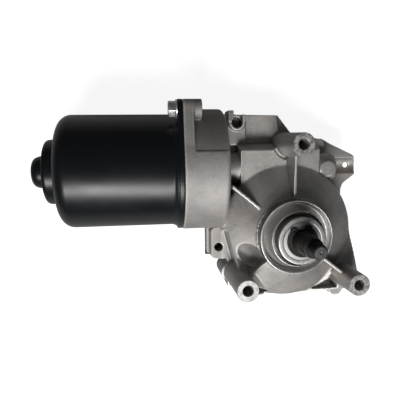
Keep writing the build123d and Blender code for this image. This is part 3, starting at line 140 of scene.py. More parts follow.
def spun(points, rounds, closed=True, steps=None, segments=5):
    """Solid of revolution round Z from (radius, height) points."""
    bm = bmesh.new()
    outline(bm, points, rounds, closed, segments)
    bmesh.ops.spin(bm, geom=bm.verts[:] + bm.edges[:], cent=(0, 0, 0), axis=(0, 0, 1), dvec=(0, 0, 0),
                   angle=math.tau, steps=steps or ROUND_STEPS, use_merge=True, use_duplicate=False)
    bmesh.ops.remove_doubles(bm, verts=bm.verts, dist=0.0005)
    return bm


def thread(bm, radius, depth, pitch, low, high, at=(0.0, 0.0), steps=24):
    """Ridge of a screw thread that winds up from low to high."""
    turns = (high - low) / pitch
    corners = ((radius - depth, -0.46 * pitch), (radius, -0.06 * pitch), (radius, 0.06 * pitch),
               (radius - depth, 0.46 * pitch))
    verts = [bm.verts.new((at[0] + r, at[1], low + z)) for r, z in corners]
    edges = [bm.edges.new((a, b)) for a, b in zip(verts, verts[1:])]
    bmesh.ops.spin(bm, geom=verts + edges, cent=(*at, 0), axis=(0, 0, 1), dvec=(0, 0, pitch / steps),
                   angle=math.tau * turns, steps=round(steps * turns), use_merge=False, use_duplicate=False)


def hexagon_head(across, height, washer_r, washer_height, shank_r, shank_length):
    """Hex washer-head screw along Z, its seat at z = 0 and its head above."""
    head = bmesh.new()
    bmesh.ops.create_cone(head, cap_ends=True, segments=6, radius1=across, radius2=across, depth=height,
                          matrix=Matrix.Translation((0, 0, height / 2)))
    rims = [e for e in head.edges if all(v.co.z > height - 0.1 for v in e.verts)]
    rounded_edges(head, rims, 0.55)
    uprights = [e for e in head.edges if abs(e.verts[0].co.z - e.verts[1].co.z) > 1.0]
    rounded_edges(head, uprights, 0.35)
    rim_r = across * 0.8
    dished = spun([
        (0.0, height - 0.5), (across * 0.62, height - 0.5), (across * 0.74, height + 0.02),
        (rim_r, height + 0.02), (rim_r, height - 0.4), (0.0, height - 0.7),
    ], {1: 0.3}, steps=48)
    washer = spun([
        (0.0, 0.0), (washer_r, 0.0), (washer_r, washer_height * 0.6), (rim_r, washer_height + 0.3),
        (0.0, washer_height + 0.3),
    ], {1: 0.15, 2: 0.3}, steps=48)
    shank = spun([
        (0.0, 0.05), (shank_r, 0.05), (shank_r, -shank_length + 0.6), (shank_r - 0.5, -shank_length),
        (0.0, -shank_length),
    ], {}, steps=32)
    return joined(head, dished, washer, shank)


def rounded_edges(bm, edges, radius):
    """Round some edges of a small piece."""
    bmesh.ops.bevel(bm, geom=edges, affect="EDGES", offset=radius, offset_type="OFFSET", segments=3,
                    profile=0.5, material=-1)


def joined(*parts):
    """One bmesh from several."""
    whole = bmesh.new()
    for part in parts:
        mesh = bpy.data.meshes.new("part")
        part.to_mesh(mesh)
        whole.from_mesh(mesh)
        part.free()
        bpy.data.meshes.remove(mesh)
    return whole


def slab(points, low, high):
    """Upright plate from an outline of (x, y) points."""
    bm = bmesh.new()
    face = bm.faces.new([bm.verts.new((x, y, low)) for x, y in points])
    grown = bmesh.ops.extrude_face_region(bm, geom=[face])["geom"]
    raised = [g for g in grown if isinstance(g, bmesh.types.BMVert)]
    bmesh.ops.translate(bm, vec=(0, 0, high - low), verts=raised)
    bmesh.ops.recalc_face_normals(bm, faces=bm.faces)
    return bm


def cut_off(bm, point, normal, dist):
    """Remove what lies past a plane, on the side its normal points to, and close the cut."""
    cut = bmesh.ops.bisect_plane(bm, geom=bm.verts[:] + bm.edges[:] + bm.faces[:], dist=dist,
                                 plane_co=point, plane_no=normal, clear_outer=True)
    rims = [g for g in cut["geom_cut"] if isinstance(g, bmesh.types.BMEdge)]
    bmesh.ops.triangle_fill(bm, use_beauty=True, use_dissolve=False, edges=rims)


def scoop(centre, radii, turn, edges):
    """Ellipsoid that hollows a casting, cut off upright at edges between two (x, y) points each."""
    bm = bmesh.new()
    bmesh.ops.create_uvsphere(bm, u_segments=64, v_segments=32, radius=1.0)
    place(bm, Matrix.Translation(centre) @ Matrix.Rotation(math.radians(turn), 4, "Z")
          @ Matrix.Diagonal((*radii, 1.0)))
    for (first_x, first_y), (second_x, second_y) in edges:
        cut_off(bm, (first_x, first_y, 0), (first_y - second_y, second_x - first_x, 0), 1e-5)
    return bm


def settled_mesh(piece):
    """The piece's mesh with its modifiers applied."""
    return bpy.data.meshes.new_from_object(piece.evaluated_get(bpy.context.evaluated_depsgraph_get()))


def carve(piece, tool):
    """Cut a bmesh in millimetres out of a piece."""
    bmesh.ops.recalc_face_normals(tool, faces=tool.faces)
    bmesh.ops.scale(tool, vec=(MM, MM, MM), verts=tool.verts)
    mesh = bpy.data.meshes.new("tool")
    tool.to_mesh(mesh)
    tool.free()
    cutter = link("tool", mesh)
    cut = piece.modifiers.new("cut", "BOOLEAN")
    cut.operation = "DIFFERENCE"
    cut.solver = "EXACT"
    cut.object = cutter
    bpy.context.view_layer.update()
    piece.data = settled_mesh(piece)
    piece.modifiers.clear()
    bpy.data.objects.remove(cutter)


def moulded(node, name, material, voxel, rounds, most, keep_above_x=None, tools=()):
    """Copy of a CAD node whose edges and corners are rounded as a mould leaves them."""
    bm = bmesh.new()
    bm.from_mesh(frame["nodes"][node].data)
    bmesh.ops.remove_doubles(bm, verts=bm.verts, dist=1e-6)
    if keep_above_x is not None:
        cut_off(bm, (keep_above_x * MM, 0, 0), (-1, 0, 0), 1e-7)
    mesh = bpy.data.meshes.new(name)
    bm.to_mesh(mesh)
    bm.free()
    piece = link(name, mesh)
    for tool in tools:
        carve(piece, tool)
    remesh = piece.modifiers.new("skin", "REMESH")
    remesh.mode = "VOXEL"
    remesh.voxel_size = voxel * MM
    soften = piece.modifiers.new("soften", "SMOOTH")
    soften.factor = 0.5
    soften.iterations = rounds
    settled = settled_mesh(piece)
    triangles = sum(len(p.vertices) - 2 for p in settled.polygons)
    if triangles > most:
        piece.modifiers.clear()
        piece.data = settled
        thin = piece.modifiers.new("thin", "DECIMATE")
        thin.ratio = most / triangles
        bpy.context.view_layer.update()
        settled = settled_mesh(piece)
    piece.modifiers.clear()
    piece.data = settled
    settled.materials.clear()
    settled.materials.append(material)
    settled.shade_smooth()
    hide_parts(node)
    return piece


def hand_over(piece, body, slot, *nodes):
    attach(piece, body)
    if nodes:
        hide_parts(*nodes)
    return piece


# Shaders

class Signal:
    """A socket that can be used in Python expressions."""

    def __init__(self, tree, socket):
        self.tree = tree
        self.socket = socket

    def maths(self, operation, first, second):
        node = self.tree.nodes.new("ShaderNodeMath")
        node.operation = operation
        for slot_index, value in enumerate((first, second)):
            if isinstance(value, Signal):
                self.tree.links.new(value.socket, node.inputs[slot_index])
            else:
                node.inputs[slot_index].default_value = value
        return Signal(self.tree, node.outputs[0])

    def __add__(self, other):
        return self.maths("ADD", self, other)

    def __sub__(self, other):
        return self.maths("SUBTRACT", self, other)

    def __mul__(self, other):
        return self.maths("MULTIPLY", self, other)

    def __truediv__(self, other):
        return self.maths("DIVIDE", self, other)

    def __pow__(self, other):
        return self.maths("POWER", self, other)


class Finish:
    """A material with its principled shader and short ways to add nodes."""

    def __init__(self, name, color, roughness=0.5, metallic=0.0, **sockets):
        self.material = bpy.data.materials.new(name)
        self.material.use_nodes = True
        self.tree = self.material.node_tree
        self.shader = self.tree.nodes["Principled BSDF"]
        self.shader.inputs["Base Color"].default_value = (*color, 1.0)
        self.shader.inputs["Roughness"].default_value = roughness
        self.shader.inputs["Metallic"].default_value = metallic
        for socket, value in sockets.items():
            self.shader.inputs[socket.replace("_", " ")].default_value = value
        self.coords = self.node("ShaderNodeTexCoord", output="Object")

    def node(self, kind, settings=None, inputs=None, output=0):
        node = self.tree.nodes.new(kind)
        for key, value in (settings or {}).items():
            setattr(node, key, value)
        for key, value in (inputs or {}).items():
            if isinstance(value, Signal):
                self.tree.links.new(value.socket, node.inputs[key])
            else:
                node.inputs[key].default_value = value
        return Signal(self.tree, node.outputs[output])

    def set(self, socket, signal):
        self.tree.links.new(signal.socket, self.shader.inputs[socket])

    def noise(self, size_mm, detail=3.0, roughness=0.5):
        """Noise from 0 to 1 whose grains are about size_mm wide."""
        return self.node("ShaderNodeTexNoise", inputs={
            "Vector": self.coords, "Scale": 1.0 / (size_mm * MM), "Detail": detail, "Roughness": roughness})

    def pointiness(self, low, high):
        """0 to 1 as the surface goes from flat to a sharp edge, or to a crease."""
        return self.ramp(self.node("ShaderNodeNewGeometry", output="Pointiness"), low, high)

    def axes(self):
        """The three Object coordinates, in metres."""
        split = self.node("ShaderNodeSeparateXYZ", inputs={"Vector": self.coords}).socket.node
        return [Signal(self.tree, socket) for socket in split.outputs]

    def distance(self, first, second, at_first, at_second):
        """Distance in metres from a line given by two coordinates in millimetres."""
        away = first - at_first * MM
        aside = second - at_second * MM
        return (away * away + aside * aside) ** 0.5

    def ramp(self, signal, low, high, from_value=0.0, to_value=1.0):
        """Signal mapped from low..high to from_value..to_value, clamped."""
        return self.node("ShaderNodeMapRange", inputs={
            "Value": signal, "From Min": low, "From Max": high, "To Min": from_value, "To Max": to_value})

    def blend(self, factor, first, second):
        """Colour between two colours or signals."""
        node = self.tree.nodes.new("ShaderNodeMix")
        node.data_type = "RGBA"
        for key, value in (("Factor", factor), ("A", first), ("B", second)):
            sockets = [s for s in node.inputs if s.name == key and s.enabled]
            if isinstance(value, Signal):
                self.tree.links.new(value.socket, sockets[0])
            elif key == "Factor":
                sockets[0].default_value = value
            else:
                sockets[0].default_value = (*value, 1.0)
        return Signal(self.tree, [s for s in node.outputs if s.enabled][0])

    def bump(self, height, distance_mm, strength=1.0):
        bumped = self.node("ShaderNodeBump", inputs={
            "Height": height, "Distance": distance_mm * MM, "Strength": strength})
        self.set("Normal", bumped)


def casting_finish():
    """Die-cast aluminium: warm grey, blotched and finely pitted, with edges lightened as wear and painted
    highlight, and painted shade in creases, holes, the bell and its recess.
    """
    finish = Finish("die_cast_aluminium", (0.4, 0.385, 0.37), 0.5, 0.92)
    blotches = finish.noise(16, 4, 0.6)
    grains = finish.noise(1.6, 5, 0.65)
    fine = finish.noise(0.35, 2, 0.5)
    tone = finish.ramp(blotches * 0.6 + grains * 0.4, 0.34, 0.66)
    color = finish.blend(tone, (0.29, 0.28, 0.268), (0.46, 0.447, 0.434))
    warm = finish.ramp(finish.noise(15, 3, 0.6), 0.48, 0.66, 0.0, 0.5)
    color = finish.blend(warm, color, (0.44, 0.385, 0.345))
    specks = finish.ramp(finish.noise(0.9, 1, 0.4), 0.68, 0.76, 0.0, 0.55)
    color = finish.blend(specks, color, (0.17, 0.16, 0.15))
    edges = finish.pointiness(0.505, 0.545)
    # Painted highlight: sharp edges are lightened, partly as wear and partly for light catching them.
    color = finish.blend(edges * 0.75, color, (0.70, 0.685, 0.665))
    creases = finish.pointiness(0.495, 0.44)
    # Painted shade: creases and inner corners are darkened.
    color = finish.blend(creases * 0.6, color, (0.12, 0.115, 0.108))
    x, y, z = finish.axes()
    bell = finish.ramp(x, (BELL_FACE_X + 0.4) * MM, (BELL_FACE_X - 0.4) * MM)
    # Painted shade: the bell past its face is darkened.
    color = finish.blend(bell * 0.2, color, (0.2, 0.19, 0.18))
    recess = finish.ramp(x, (BELL_RECESS_X - 0.3) * MM, (BELL_RECESS_X + 0.4) * MM) * bell
    recess = recess * finish.ramp(y, (BELL_RECESS_Y - 0.5) * MM, (BELL_RECESS_Y + 0.5) * MM)
    # Painted shade: the recess on top of the bell is darkened.
    color = finish.blend(recess * 0.5, color, (0.18, 0.155, 0.133))
    # Painted shade: the insides of the eye and ear holes are darkened towards black.
    for centre, radius, top, share in ((EYE_HOLE, 3.5, -39.5, 0.5), (EAR_HOLE, 2.7, -42.5, 0.9)):
        away = finish.distance(x, y, *centre)
        hole = finish.ramp(away, radius * MM, (radius - 0.25) * MM)
        hole = hole * finish.ramp(z, top * MM, (top - 0.8) * MM)
        color = finish.blend(hole * share, color, (0.02, 0.018, 0.017))
    finish.set("Base Color", color)
    finish.set("Roughness", finish.ramp(grains, 0.3, 0.7, 0.53, 0.65) + bell * 0.13)
    finish.bump(grains * 0.6 + fine * 0.4, 0.12, 0.6)
    return finish.material


def turned_casting_finish():
    """The same metal where the mould's core leaves it smooth, with edges lightened as wear and painted
    highlight, and painted shade in the groove and on the tower wall.
    """
    finish = Finish("smooth_die_cast_aluminium", (0.4, 0.39, 0.375), 0.4, 0.92)
    grains = finish.noise(1.1, 4, 0.6)
    color = finish.blend(finish.ramp(grains, 0.35, 0.65), (0.44, 0.43, 0.415), (0.58, 0.57, 0.555))
    x, y = finish.axes()[:2]
    radius = finish.distance(x, y, 0.0, 0.0)
    inner_r, outer_r = GROOVE_RADII
    # Painted shade: the groove between crest and sleeve and the tower's outer wall are darkened.
    groove = finish.ramp(radius, (outer_r + 0.2) * MM, (outer_r - 0.3) * MM)
    groove = groove * finish.ramp(radius, (inner_r - 0.2) * MM, (inner_r + 0.2) * MM)
    wall = finish.ramp(radius, (TOWER_WALL_R - 0.1) * MM, (TOWER_WALL_R + 0.06) * MM)
    color = finish.blend(groove * 0.75 + wall * 0.75, color, (0.1, 0.095, 0.09))
    edges = finish.pointiness(0.52, 0.6)
    # Painted highlight: sharp edges are lightened, partly as wear and partly for light catching them.
    finish.set("Base Color", finish.blend(edges, color, (0.80, 0.79, 0.77)))
    finish.set("Roughness", finish.ramp(grains, 0.3, 0.7, 0.34, 0.46))
    finish.bump(grains, 0.05, 0.5)
    return finish.material


def machined_finish():
    """Turned aluminium face with fine lathe lines."""
    finish = Finish("machined_aluminium", (0.5, 0.49, 0.48), 0.55, 1.0)
    lines = finish.noise(0.5, 3, 0.6)
    tone = finish.ramp(finish.noise(1.8, 4, 0.65), 0.4, 0.6)
    finish.set("Base Color", finish.blend(tone, (0.27, 0.265, 0.258), (0.5, 0.49, 0.478)))
    finish.set("Roughness", finish.ramp(tone, 0, 1, 0.5, 0.6))
    finish.bump(lines, 0.03, 0.4)
    return finish.material


def paint_finish():
    """Black semi-gloss paint with a slight orange peel and some dust."""
    finish = Finish("black_paint", (0.004, 0.0045, 0.005), 0.3, 0.0, Specular_IOR_Level=0.27)
    peel = finish.noise(1.4, 2, 0.5)
    haze = finish.noise(14, 3, 0.6)
    dust = finish.ramp(finish.noise(0.45, 1, 0.5), 0.72, 0.8, 0.0, 0.35)
    finish.set("Base Color", finish.blend(dust, (0.0035, 0.004, 0.0048), (0.03, 0.03, 0.034)))
    finish.set("Roughness", finish.ramp(haze, 0.3, 0.7, 0.28, 0.35))
    finish.bump(peel, 0.02, 0.5)
    return finish.material


def metal_finish(name, color, roughness):
    """Plain metal whose tone and gloss wander a little."""
    grain_mm = 0.6
    spread = 0.1
    finish = Finish(name, color, roughness, 1.0)
    tone = finish.ramp(finish.noise(grain_mm * 6, 4, 0.6), 0.35, 0.65)
    dark = tuple(c * (1 - spread) for c in color)
    light = tuple(min(1.0, c * (1 + spread)) for c in color)
    finish.set("Base Color", finish.blend(tone, dark, light))
    finish.set("Roughness", finish.ramp(tone, 0, 1, roughness * 0.85, min(1.0, roughness * 1.2)))
    finish.bump(finish.noise(grain_mm, 2, 0.5), 0.03, 0.3)
    return finish.material


def plain_finish(name, color, roughness, spread=0.15):
    """Non-metal with a fine moulded or sintered grain."""
    grain_mm = 0.5
    finish = Finish(name, color, roughness)
    tone = finish.ramp(finish.noise(grain_mm * 9, 4, 0.6), 0.35, 0.65)
    dark = tuple(c * (1 - spread) for c in color)
    light = tuple(min(1.0, c * (1 + spread)) for c in color)
    finish.set("Base Color", finish.blend(tone, dark, light))
    finish.set("Roughness", finish.ramp(tone, 0, 1, roughness * 0.9, min(1.0, roughness * 1.1)))
    finish.bump(finish.noise(grain_mm, 2, 0.5), 0.03, 0.4)
    return finish.material


def laminated_finish():
    """Stack of thin steel sheets with a dark line between each two."""
    finish = Finish("laminated_sheet", (0.23, 0.23, 0.24), 0.45, 0.9)
    x = finish.axes()[0]
    sheets = x / (SHEET_THICKNESS * MM)
    line = finish.ramp(sheets.maths("PINGPONG", sheets, 0.5), 0.05, 0.14)
    tone = finish.ramp(finish.noise(3, 3), 0.35, 0.65)
    steel = finish.blend(tone, (0.17, 0.17, 0.18), (0.28, 0.28, 0.29))
    finish.set("Base Color", finish.blend(line, (0.05, 0.045, 0.04), steel))
    finish.set("Roughness", finish.ramp(tone, 0, 1, 0.4, 0.52))
    finish.bump(line, 0.08, 0.6)
    return finish.material


def wound_finish(name, wire_mm, sway):
    """Enamelled copper wire laid turn beside turn."""
    finish = Finish(name, (0.5, 0.2, 0.08), 0.35, 0.95)
    wires = finish.node("ShaderNodeTexWave", {"wave_type": "BANDS", "bands_direction": "X"}, {
        "Vector": finish.coords, "Scale": 0.314 / (wire_mm * MM), "Distortion": sway, "Detail": 2.0,
        "Detail Scale": 1.5}, output="Fac")
    crown = finish.ramp(wires, 0.1, 0.7)
    # Painted highlight on each wire's crown and painted shade in the gaps between turns.
    finish.set("Base Color", finish.blend(crown, (0.14, 0.045, 0.018), (0.60, 0.25, 0.10)))
    finish.set("Roughness", finish.ramp(wires, 0, 1, 0.5, 0.3))
    finish.bump(wires, wire_mm * 0.4, 0.8)
    return finish.material


def turned_copper_finish():
    """Commutator copper with the fine tracks that the brushes leave."""
    finish = Finish("commutator_copper", (0.60, 0.27, 0.12), 0.3, 1.0)
    x = finish.axes()[0]
    tracks = finish.node("ShaderNodeTexNoise", {"noise_dimensions": "1D"}, {
        "W": x, "Scale": 2500.0, "Detail": 3.0})
    left_x, right_x = BRUSH_TRACK_X
    worn = finish.ramp(x, (left_x - 0.5) * MM, (left_x + 1.0) * MM)
    worn = worn * finish.ramp(x, (right_x + 0.5) * MM, (right_x - 1.0) * MM)
    color = finish.blend(tracks, (0.40, 0.17, 0.08), (0.66, 0.32, 0.16))
    finish.set("Base Color", finish.blend(worn * 0.6, color, (0.16, 0.10, 0.075)))
    finish.set("Roughness", finish.ramp(tracks, 0, 1, 0.22, 0.4))
    finish.bump(tracks, 0.02, 0.5)
    return finish.material


CASTING = casting_finish()
TURNED_CASTING = turned_casting_finish()
MACHINED = machined_finish()
PAINT = paint_finish()
ZINC = metal_finish("bright_zinc", (0.60, 0.60, 0.59), 0.4)
BLACK_STEEL = metal_finish("black_oxide_steel", (0.036, 0.034, 0.032), 0.55)
DULL_STEEL = metal_finish("turned_steel_end", (0.16, 0.16, 0.16), 0.42)
WASHER_STEEL = metal_finish("spring_steel_washer", (0.34, 0.34, 0.34), 0.52)
BRIGHT_STEEL = metal_finish("ground_steel", (0.62, 0.62, 0.61), 0.25)
BRONZE = metal_finish("sintered_bronze", (0.46, 0.31, 0.16), 0.45)
BRASS = metal_finish("stamped_brass", (0.72, 0.52, 0.24), 0.3)
COPPER = wound_finish("enamelled_copper", 0.8, 2.5)
CHOKE_COPPER = wound_finish("choke_copper", 0.9, 0.0)
COMMUTATOR_COPPER = turned_copper_finish()
LAMINATED = laminated_finish()
FERRITE = plain_finish("sintered_ferrite", (0.045, 0.045, 0.048), 0.6)
CARBON = plain_finish("pressed_carbon", (0.025, 0.025, 0.025), 0.55)
BLACK_PLASTIC = plain_finish("moulded_black_plastic", (0.022, 0.022, 0.023), 0.48)
WHEEL_PLASTIC = plain_finish("natural_acetal", (0.72, 0.69, 0.60), 0.4, spread=0.05)
PHENOLIC = plain_finish("phenolic_board", (0.15, 0.075, 0.03), 0.5)
RUBBER = plain_finish("black_rubber", (0.018, 0.018, 0.018), 0.7)

SLOT_FINISHES = {
    "can_paint": PAINT, "casting": CASTING, "zinc": ZINC, "dark_steel": BLACK_STEEL,
    "bright_steel": BRIGHT_STEEL, "bronze": BRONZE, "brass": BRASS, "copper": COPPER, "laminations": LAMINATED,
    "ferrite": FERRITE, "carbon": CARBON, "black_plastic": BLACK_PLASTIC, "wheel_plastic": WHEEL_PLASTIC,
    "phenolic": PHENOLIC, "rubber": RUBBER,
}
NODE_FINISHES = {"choke_windings": CHOKE_COPPER, "commutator": COMMUTATOR_COPPER}


def dress_nodes():
    """Give every CAD node the finish of its slot in the record."""
    for part in frame["record"]["subparts"]:
        node = frame["nodes"][part["node"]]
        node.data.materials.clear()
        node.data.materials.append(NODE_FINISHES.get(part["node"], SLOT_FINISHES[part["material_slot"]]))


# Motor can

def can_shell():
    """Drawn can: flange, round body, domed end with its raised boss and the bearing nub."""
    outer = [
        (0.0, -150.3), (7.2, -150.3), (9.4, -147.2), (9.4, -142.4), (14.9, -142.4), (18.9, -141.4),
        (18.9, -134.0), (24.6, -134.0), (33.0, -134.0), (33.0, -69.2), (34.3, -66.9), (34.3, CAN_MOUTH_X),
    ]
    inner = [
        (31.0, CAN_MOUTH_X), (31.0, -132.0), (16.9, -132.0), (16.9, -140.4), (7.4, -140.4), (7.4, -148.3),
        (0.0, -148.3),
    ]
    rounds = {1: 2.0, 2: 2.0, 3: 0.6, 4: 3.0, 5: 2.2, 6: 0.7, 8: 7.6, 9: 1.0, 13: 5.0}
    bm = spun(outer + inner, rounds, closed=False, segments=8)
    place(bm, on_armature())
    shell = finished(bm, "can_shell", PAINT, 40)
    return hand_over(shell, "root", "can_paint", "motor_can")


def can_flange():
    """Flange with its two screw ears."""
    flange = moulded("motor_can", "can_flange", PAINT, 0.35, 4, 90000,
                     CAN_MOUTH_X - FLANGE_THICKNESS - 0.15)
    return hand_over(flange, "root", "can_paint")


def can_screws():
    """Zinc-plated screws that hold the can."""
    screws = []
    for number, angle in enumerate(SCREW_ANGLES):
        screw = hexagon_head(4.65, 4.9, 5.1, 1.2, 2.35, 11.0)
        turn = Matrix.Rotation(math.radians(14 + 23 * number), 4, "Z")
        spot = Matrix.Translation((CAN_MOUTH_X - FLANGE_THICKNESS, *around_can(SCREW_RADIUS, angle)))
        place(screw, spot @ Matrix.Rotation(-math.pi / 2, 4, "Y") @ turn)
        screws.append(screw)
    piece = finished(joined(*screws), "can_screw_pair", ZINC, 30)
    return hand_over(piece, "root", "zinc", "can_screws")


def cover_screws():
    """Zinc-plated screws of the rear cover."""
    screws = []
    for number, (x, y) in enumerate(COVER_SCREWS):
        screw = hexagon_head(3.3, 2.6, 4.0, 0.9, 1.85, 8.0)
        turn = Matrix.Rotation(math.radians(9 + 17 * number), 4, "Z")
        place(screw, Matrix.Translation((x, y, COVER_SEAT_Z)) @ Matrix.Rotation(math.pi, 4, "X") @ turn)
        screws.append(screw)
    piece = finished(joined(*screws), "cover_screw_set", ZINC, 30)
    return hand_over(piece, "root", "zinc", "cover_screws")


# Output shaft

def serrated_taper(low, high, base_r, top_r, count, depth):
    """Fine straight serrations on a cone."""
    bm = bmesh.new()
    bmesh.ops.create_circle(bm, cap_ends=False, segments=count * 2, radius=base_r)
    lower = bm.verts[:]
    for vert in lower:
        step = round(math.atan2(vert.co.y, vert.co.x) / (math.pi / count))
        if step % 2:
            vert.co.xy *= (base_r - depth) / base_r
    walls = bmesh.ops.extrude_edge_only(bm, edges=bm.edges[:])
    upper = [g for g in walls["geom"] if isinstance(g, bmesh.types.BMVert)]
    for vert in upper:
        vert.co.xy *= top_r / base_r
        vert.co.z = high - low
    for ring in (lower, upper):
        rim = [e for e in bm.edges if all(v in ring for v in e.verts)]
        cap = bmesh.ops.contextual_create(bm, geom=rim)["faces"]
        bmesh.ops.inset_region(bm, faces=cap, thickness=0.7, depth=0.5, use_even_offset=True)
    place(bm, Matrix.Translation((0, 0, low)))
    return bm


def output_shaft():
    """Crank shaft: journal, circlip groove, serrated cone and the threaded end."""
    body = spun([
        (0.0, -49.5), (6.0, -49.5), (6.5, -49.0), (6.5, -1.96), (5.8, -1.96), (5.8, -0.76), (6.3, -0.76),
        (6.3, 2.0), (5.4, 2.9), (0.0, 2.9),
    ], {7: 0.3}, closed=False, steps=96)
    cone = serrated_taper(2.4, 13.5, 6.2, 5.5, 30, 0.24)
    stud = spun([(0.0, 12.0), (3.45, 12.0), (3.45, 22.1), (3.3, 22.3), (0.0, 22.3)], {}, closed=False,
                steps=64)
    thread(stud, 4.0, 0.62, 1.25, 13.9, 22.0, steps=36)
    shaft = finished(joined(body, cone, stud), "crank_shaft", BLACK_STEEL, 30)
    end = spun([
        (0.0, 22.0), (3.35, 22.0), (3.35, 22.35), (2.9, 22.8), (2.45, 22.8), (2.3, 22.6), (1.6, 22.6),
        (1.45, 22.78), (1.0, 22.78), (0.85, 22.5), (0.0, 22.35),
    ], {}, closed=False, steps=64)
    tip = finished(end, "shaft_end", DULL_STEEL, 30)
    hand_over(tip, "output", "dark_steel")
    return hand_over(shaft, "output", "dark_steel", "output_shaft")


# Tower

def tower_crown():
    """Lip, moat, crest, groove and sleeve at the top of the tower, as clean as the mould's turned core."""
    lip = [(21.4, -19.5), (21.4, -10.9), (20.6, -10.9)]
    moat = [(20.4, -15.2), (19.2, -16.2), (17.4, -13.6), (16.1, -9.0)]
    crest = [(15.7, -6.95), (15.2, -6.95)]
    groove = [(15.15, -10.2), (13.4, -10.2)]
    sleeve = [(13.4, -2.6), (10.8, -2.6), (10.8, -4.0), (11.3, -19.0), (20.0, -21.5)]
    rounds = {1: 0.3, 2: 0.25, 3: 0.9, 4: 1.0, 5: 2.5, 6: 2.0, 7: 0.2, 8: 0.2, 9: 0.5, 10: 0.5, 11: 0.35,
              12: 0.35}
    crown = spun(lip + moat + crest + groove + sleeve, rounds)
    return hand_over(finished(crown, "tower_crown", TURNED_CASTING, 35), "root", "casting")


def housing_casting():
    """Die-cast gear housing with its webs' pockets, the tower's top left to the crown."""
    tower_top = spun([(10.0, -18.6), (21.38, -18.6), (21.38, 2.0), (10.0, 2.0)], {}, steps=96)
    left_web = slab([
        (-24.6, -34.2), (-19.5, -33.2), (-12.0, -37.2), (-11.0, -38.6), (-25.0, -38.0),
    ], -35.5, -24.0)
    right_web = slab([
        (12.5, -39.4), (20.4, -36.0), (27.0, -31.3), (29.3, -26.6), (30.2, -32.6), (33.0, -35.6),
        (33.0, -37.3), (16.0, -38.4),
    ], -36.0, -20.0)
    beside_rib = ((-16.5, -14.8), (-24.7, -20.4))
    beside_boss = ((-17.7, -28.5), (-25.6, -22.3))
    hollow = scoop((-27.5, -12.6, -11.4), (16.0, 9.6, 15.0), -38, (beside_rib, beside_boss))
    piece = moulded("gear_housing", "housing_casting", CASTING, 0.5, 3, 195000,
                    tools=(tower_top, left_web, right_web, hollow))
    return hand_over(piece, "root", "casting")


def cover_moulding():
    """Rear cover with the rounded edges of a moulding."""
    cover = moulded("rear_cover", "cover_moulding", BLACK_PLASTIC, 0.55, 2, 150000)
    return hand_over(cover, "root", "black_plastic")


def seat_washer():
    """Bright washer between the circlip and the sleeve."""
    ring = spun([(6.6, -3.0), (10.72, -3.0), (10.72, -2.42), (6.6, -2.42)], {1: 0.12, 2: 0.15}, segments=3)
    washer = finished(ring, "seat_washer", WASHER_STEEL, 30)
    return hand_over(washer, "output", "bright_steel", "front_washer")


# Machined faces and tapped holes

def mount_face(name, centre):
    """Machined annulus on a mounting boss, with a chamfered hole and the thread inside it."""
    face = spun([
        (MOUNT_HOLE_R + 0.35, MOUNT_FACE_Z + 0.04), (MOUNT_FACE_R - 0.35, MOUNT_FACE_Z + 0.04),
        (MOUNT_FACE_R, MOUNT_FACE_Z - 0.35), (MOUNT_FACE_R, MOUNT_FACE_Z - 1.0),
        (MOUNT_HOLE_R - 0.05, MOUNT_FACE_Z - 1.0), (MOUNT_HOLE_R - 0.05, MOUNT_FACE_Z - 0.36),
    ], {})
    place(face, Matrix.Translation((*centre, 0)))
    tapped = bmesh.new()
    deepest = MOUNT_FACE_Z - MOUNT_DEPTHS[name] + 2.0
    thread(tapped, MOUNT_HOLE_R + 0.02, -0.45, 1.0, deepest, MOUNT_FACE_Z - 0.5, centre)
    piece = finished(joined(face, tapped), f"mount_face_{name}", MACHINED, 20)
    return hand_over(piece, "root", "casting")


# Studio

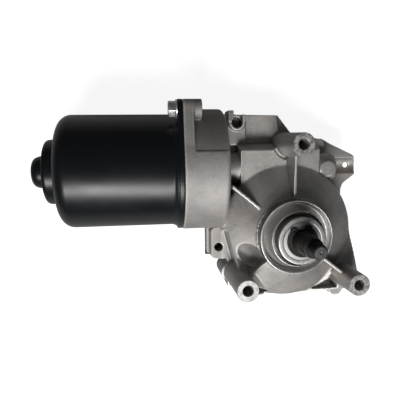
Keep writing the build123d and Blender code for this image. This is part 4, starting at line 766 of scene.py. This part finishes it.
def pale_floor():
    """White to the camera, pale to the part, and it keeps the part's shadow."""
    low_z = min(cad_box[0][2], cad_box[1][2])
    bm = bmesh.new()
    bmesh.ops.create_grid(bm, x_segments=1, y_segments=1, size=4000.0)
    place(bm, Matrix.Translation((0, 0, low_z / MM - 0.5)))
    ground = Finish("pale_floor", (0.27, 0.27, 0.27), 0.9)
    rays = ground.node("ShaderNodeLightPath", output="Is Camera Ray")
    glossy = ground.node("ShaderNodeLightPath", output="Is Glossy Ray")
    passing = ground.node("ShaderNodeLightPath", output="Is Transmission Ray")
    seen = rays * 0.9 + glossy * 0.1 + passing * 0.9
    ground.shader.inputs["Emission Color"].default_value = (1, 1, 1, 1)
    ground.tree.links.new(seen.socket, ground.shader.inputs["Emission Strength"])
    floor = finished(bm, "floor", ground.material)


def soft_room():
    """Even, weak light from all round."""
    world = bpy.data.worlds.new("soft_room")
    bpy.context.scene.world = world
    world.use_nodes = True
    background = world.node_tree.nodes["Background"]
    background.inputs["Color"].default_value = (0.95, 0.97, 1.0, 1)
    background.inputs["Strength"].default_value = 0.08


def key_lamp():
    """Wide soft box above the part and in front of it."""
    light = bpy.data.lights.new("key", "AREA")
    light.shape = "RECTANGLE"
    light.size = 0.56
    light.size_y = 0.28
    light.energy = 11.5
    holder = bpy.data.objects.new("key", light)
    bpy.context.scene.collection.objects.link(holder)
    holder.location = (-0.19, -0.49, 0.69)
    aim = Vector((-0.04, 0.02, -0.03)) - holder.location
    holder.rotation_euler = aim.to_track_quat("-Z", "Y").to_euler()


def camera():
    lens = bpy.data.cameras.new("camera")
    lens.lens = 37.0
    lens.sensor_width = 36.0
    lens.clip_start = 0.01
    holder = bpy.data.objects.new("camera", lens)
    bpy.context.scene.collection.objects.link(holder)
    right = Vector((0.99310, -0.01221, 0.11660))
    up = Vector((0.02778, 0.99075, -0.13285))
    back = Vector((-0.11390, 0.13517, 0.98425))
    turn = Matrix((right, up, back)).transposed().to_4x4()
    holder.matrix_world = Matrix.Translation((-0.08118, 0.05376, 0.21059)) @ turn
    bpy.context.scene.camera = holder


bpy.context.scene.view_settings.view_transform = "Standard"
camera()
dress_nodes()
can_shell()
can_flange()
can_screws()
cover_screws()
output_shaft()
tower_crown()
seat_washer()
housing_casting()
cover_moulding()
for mount, centre in MOUNTS.items():
    mount_face(mount, centre)
pale_floor()
soft_room()
key_lamp()
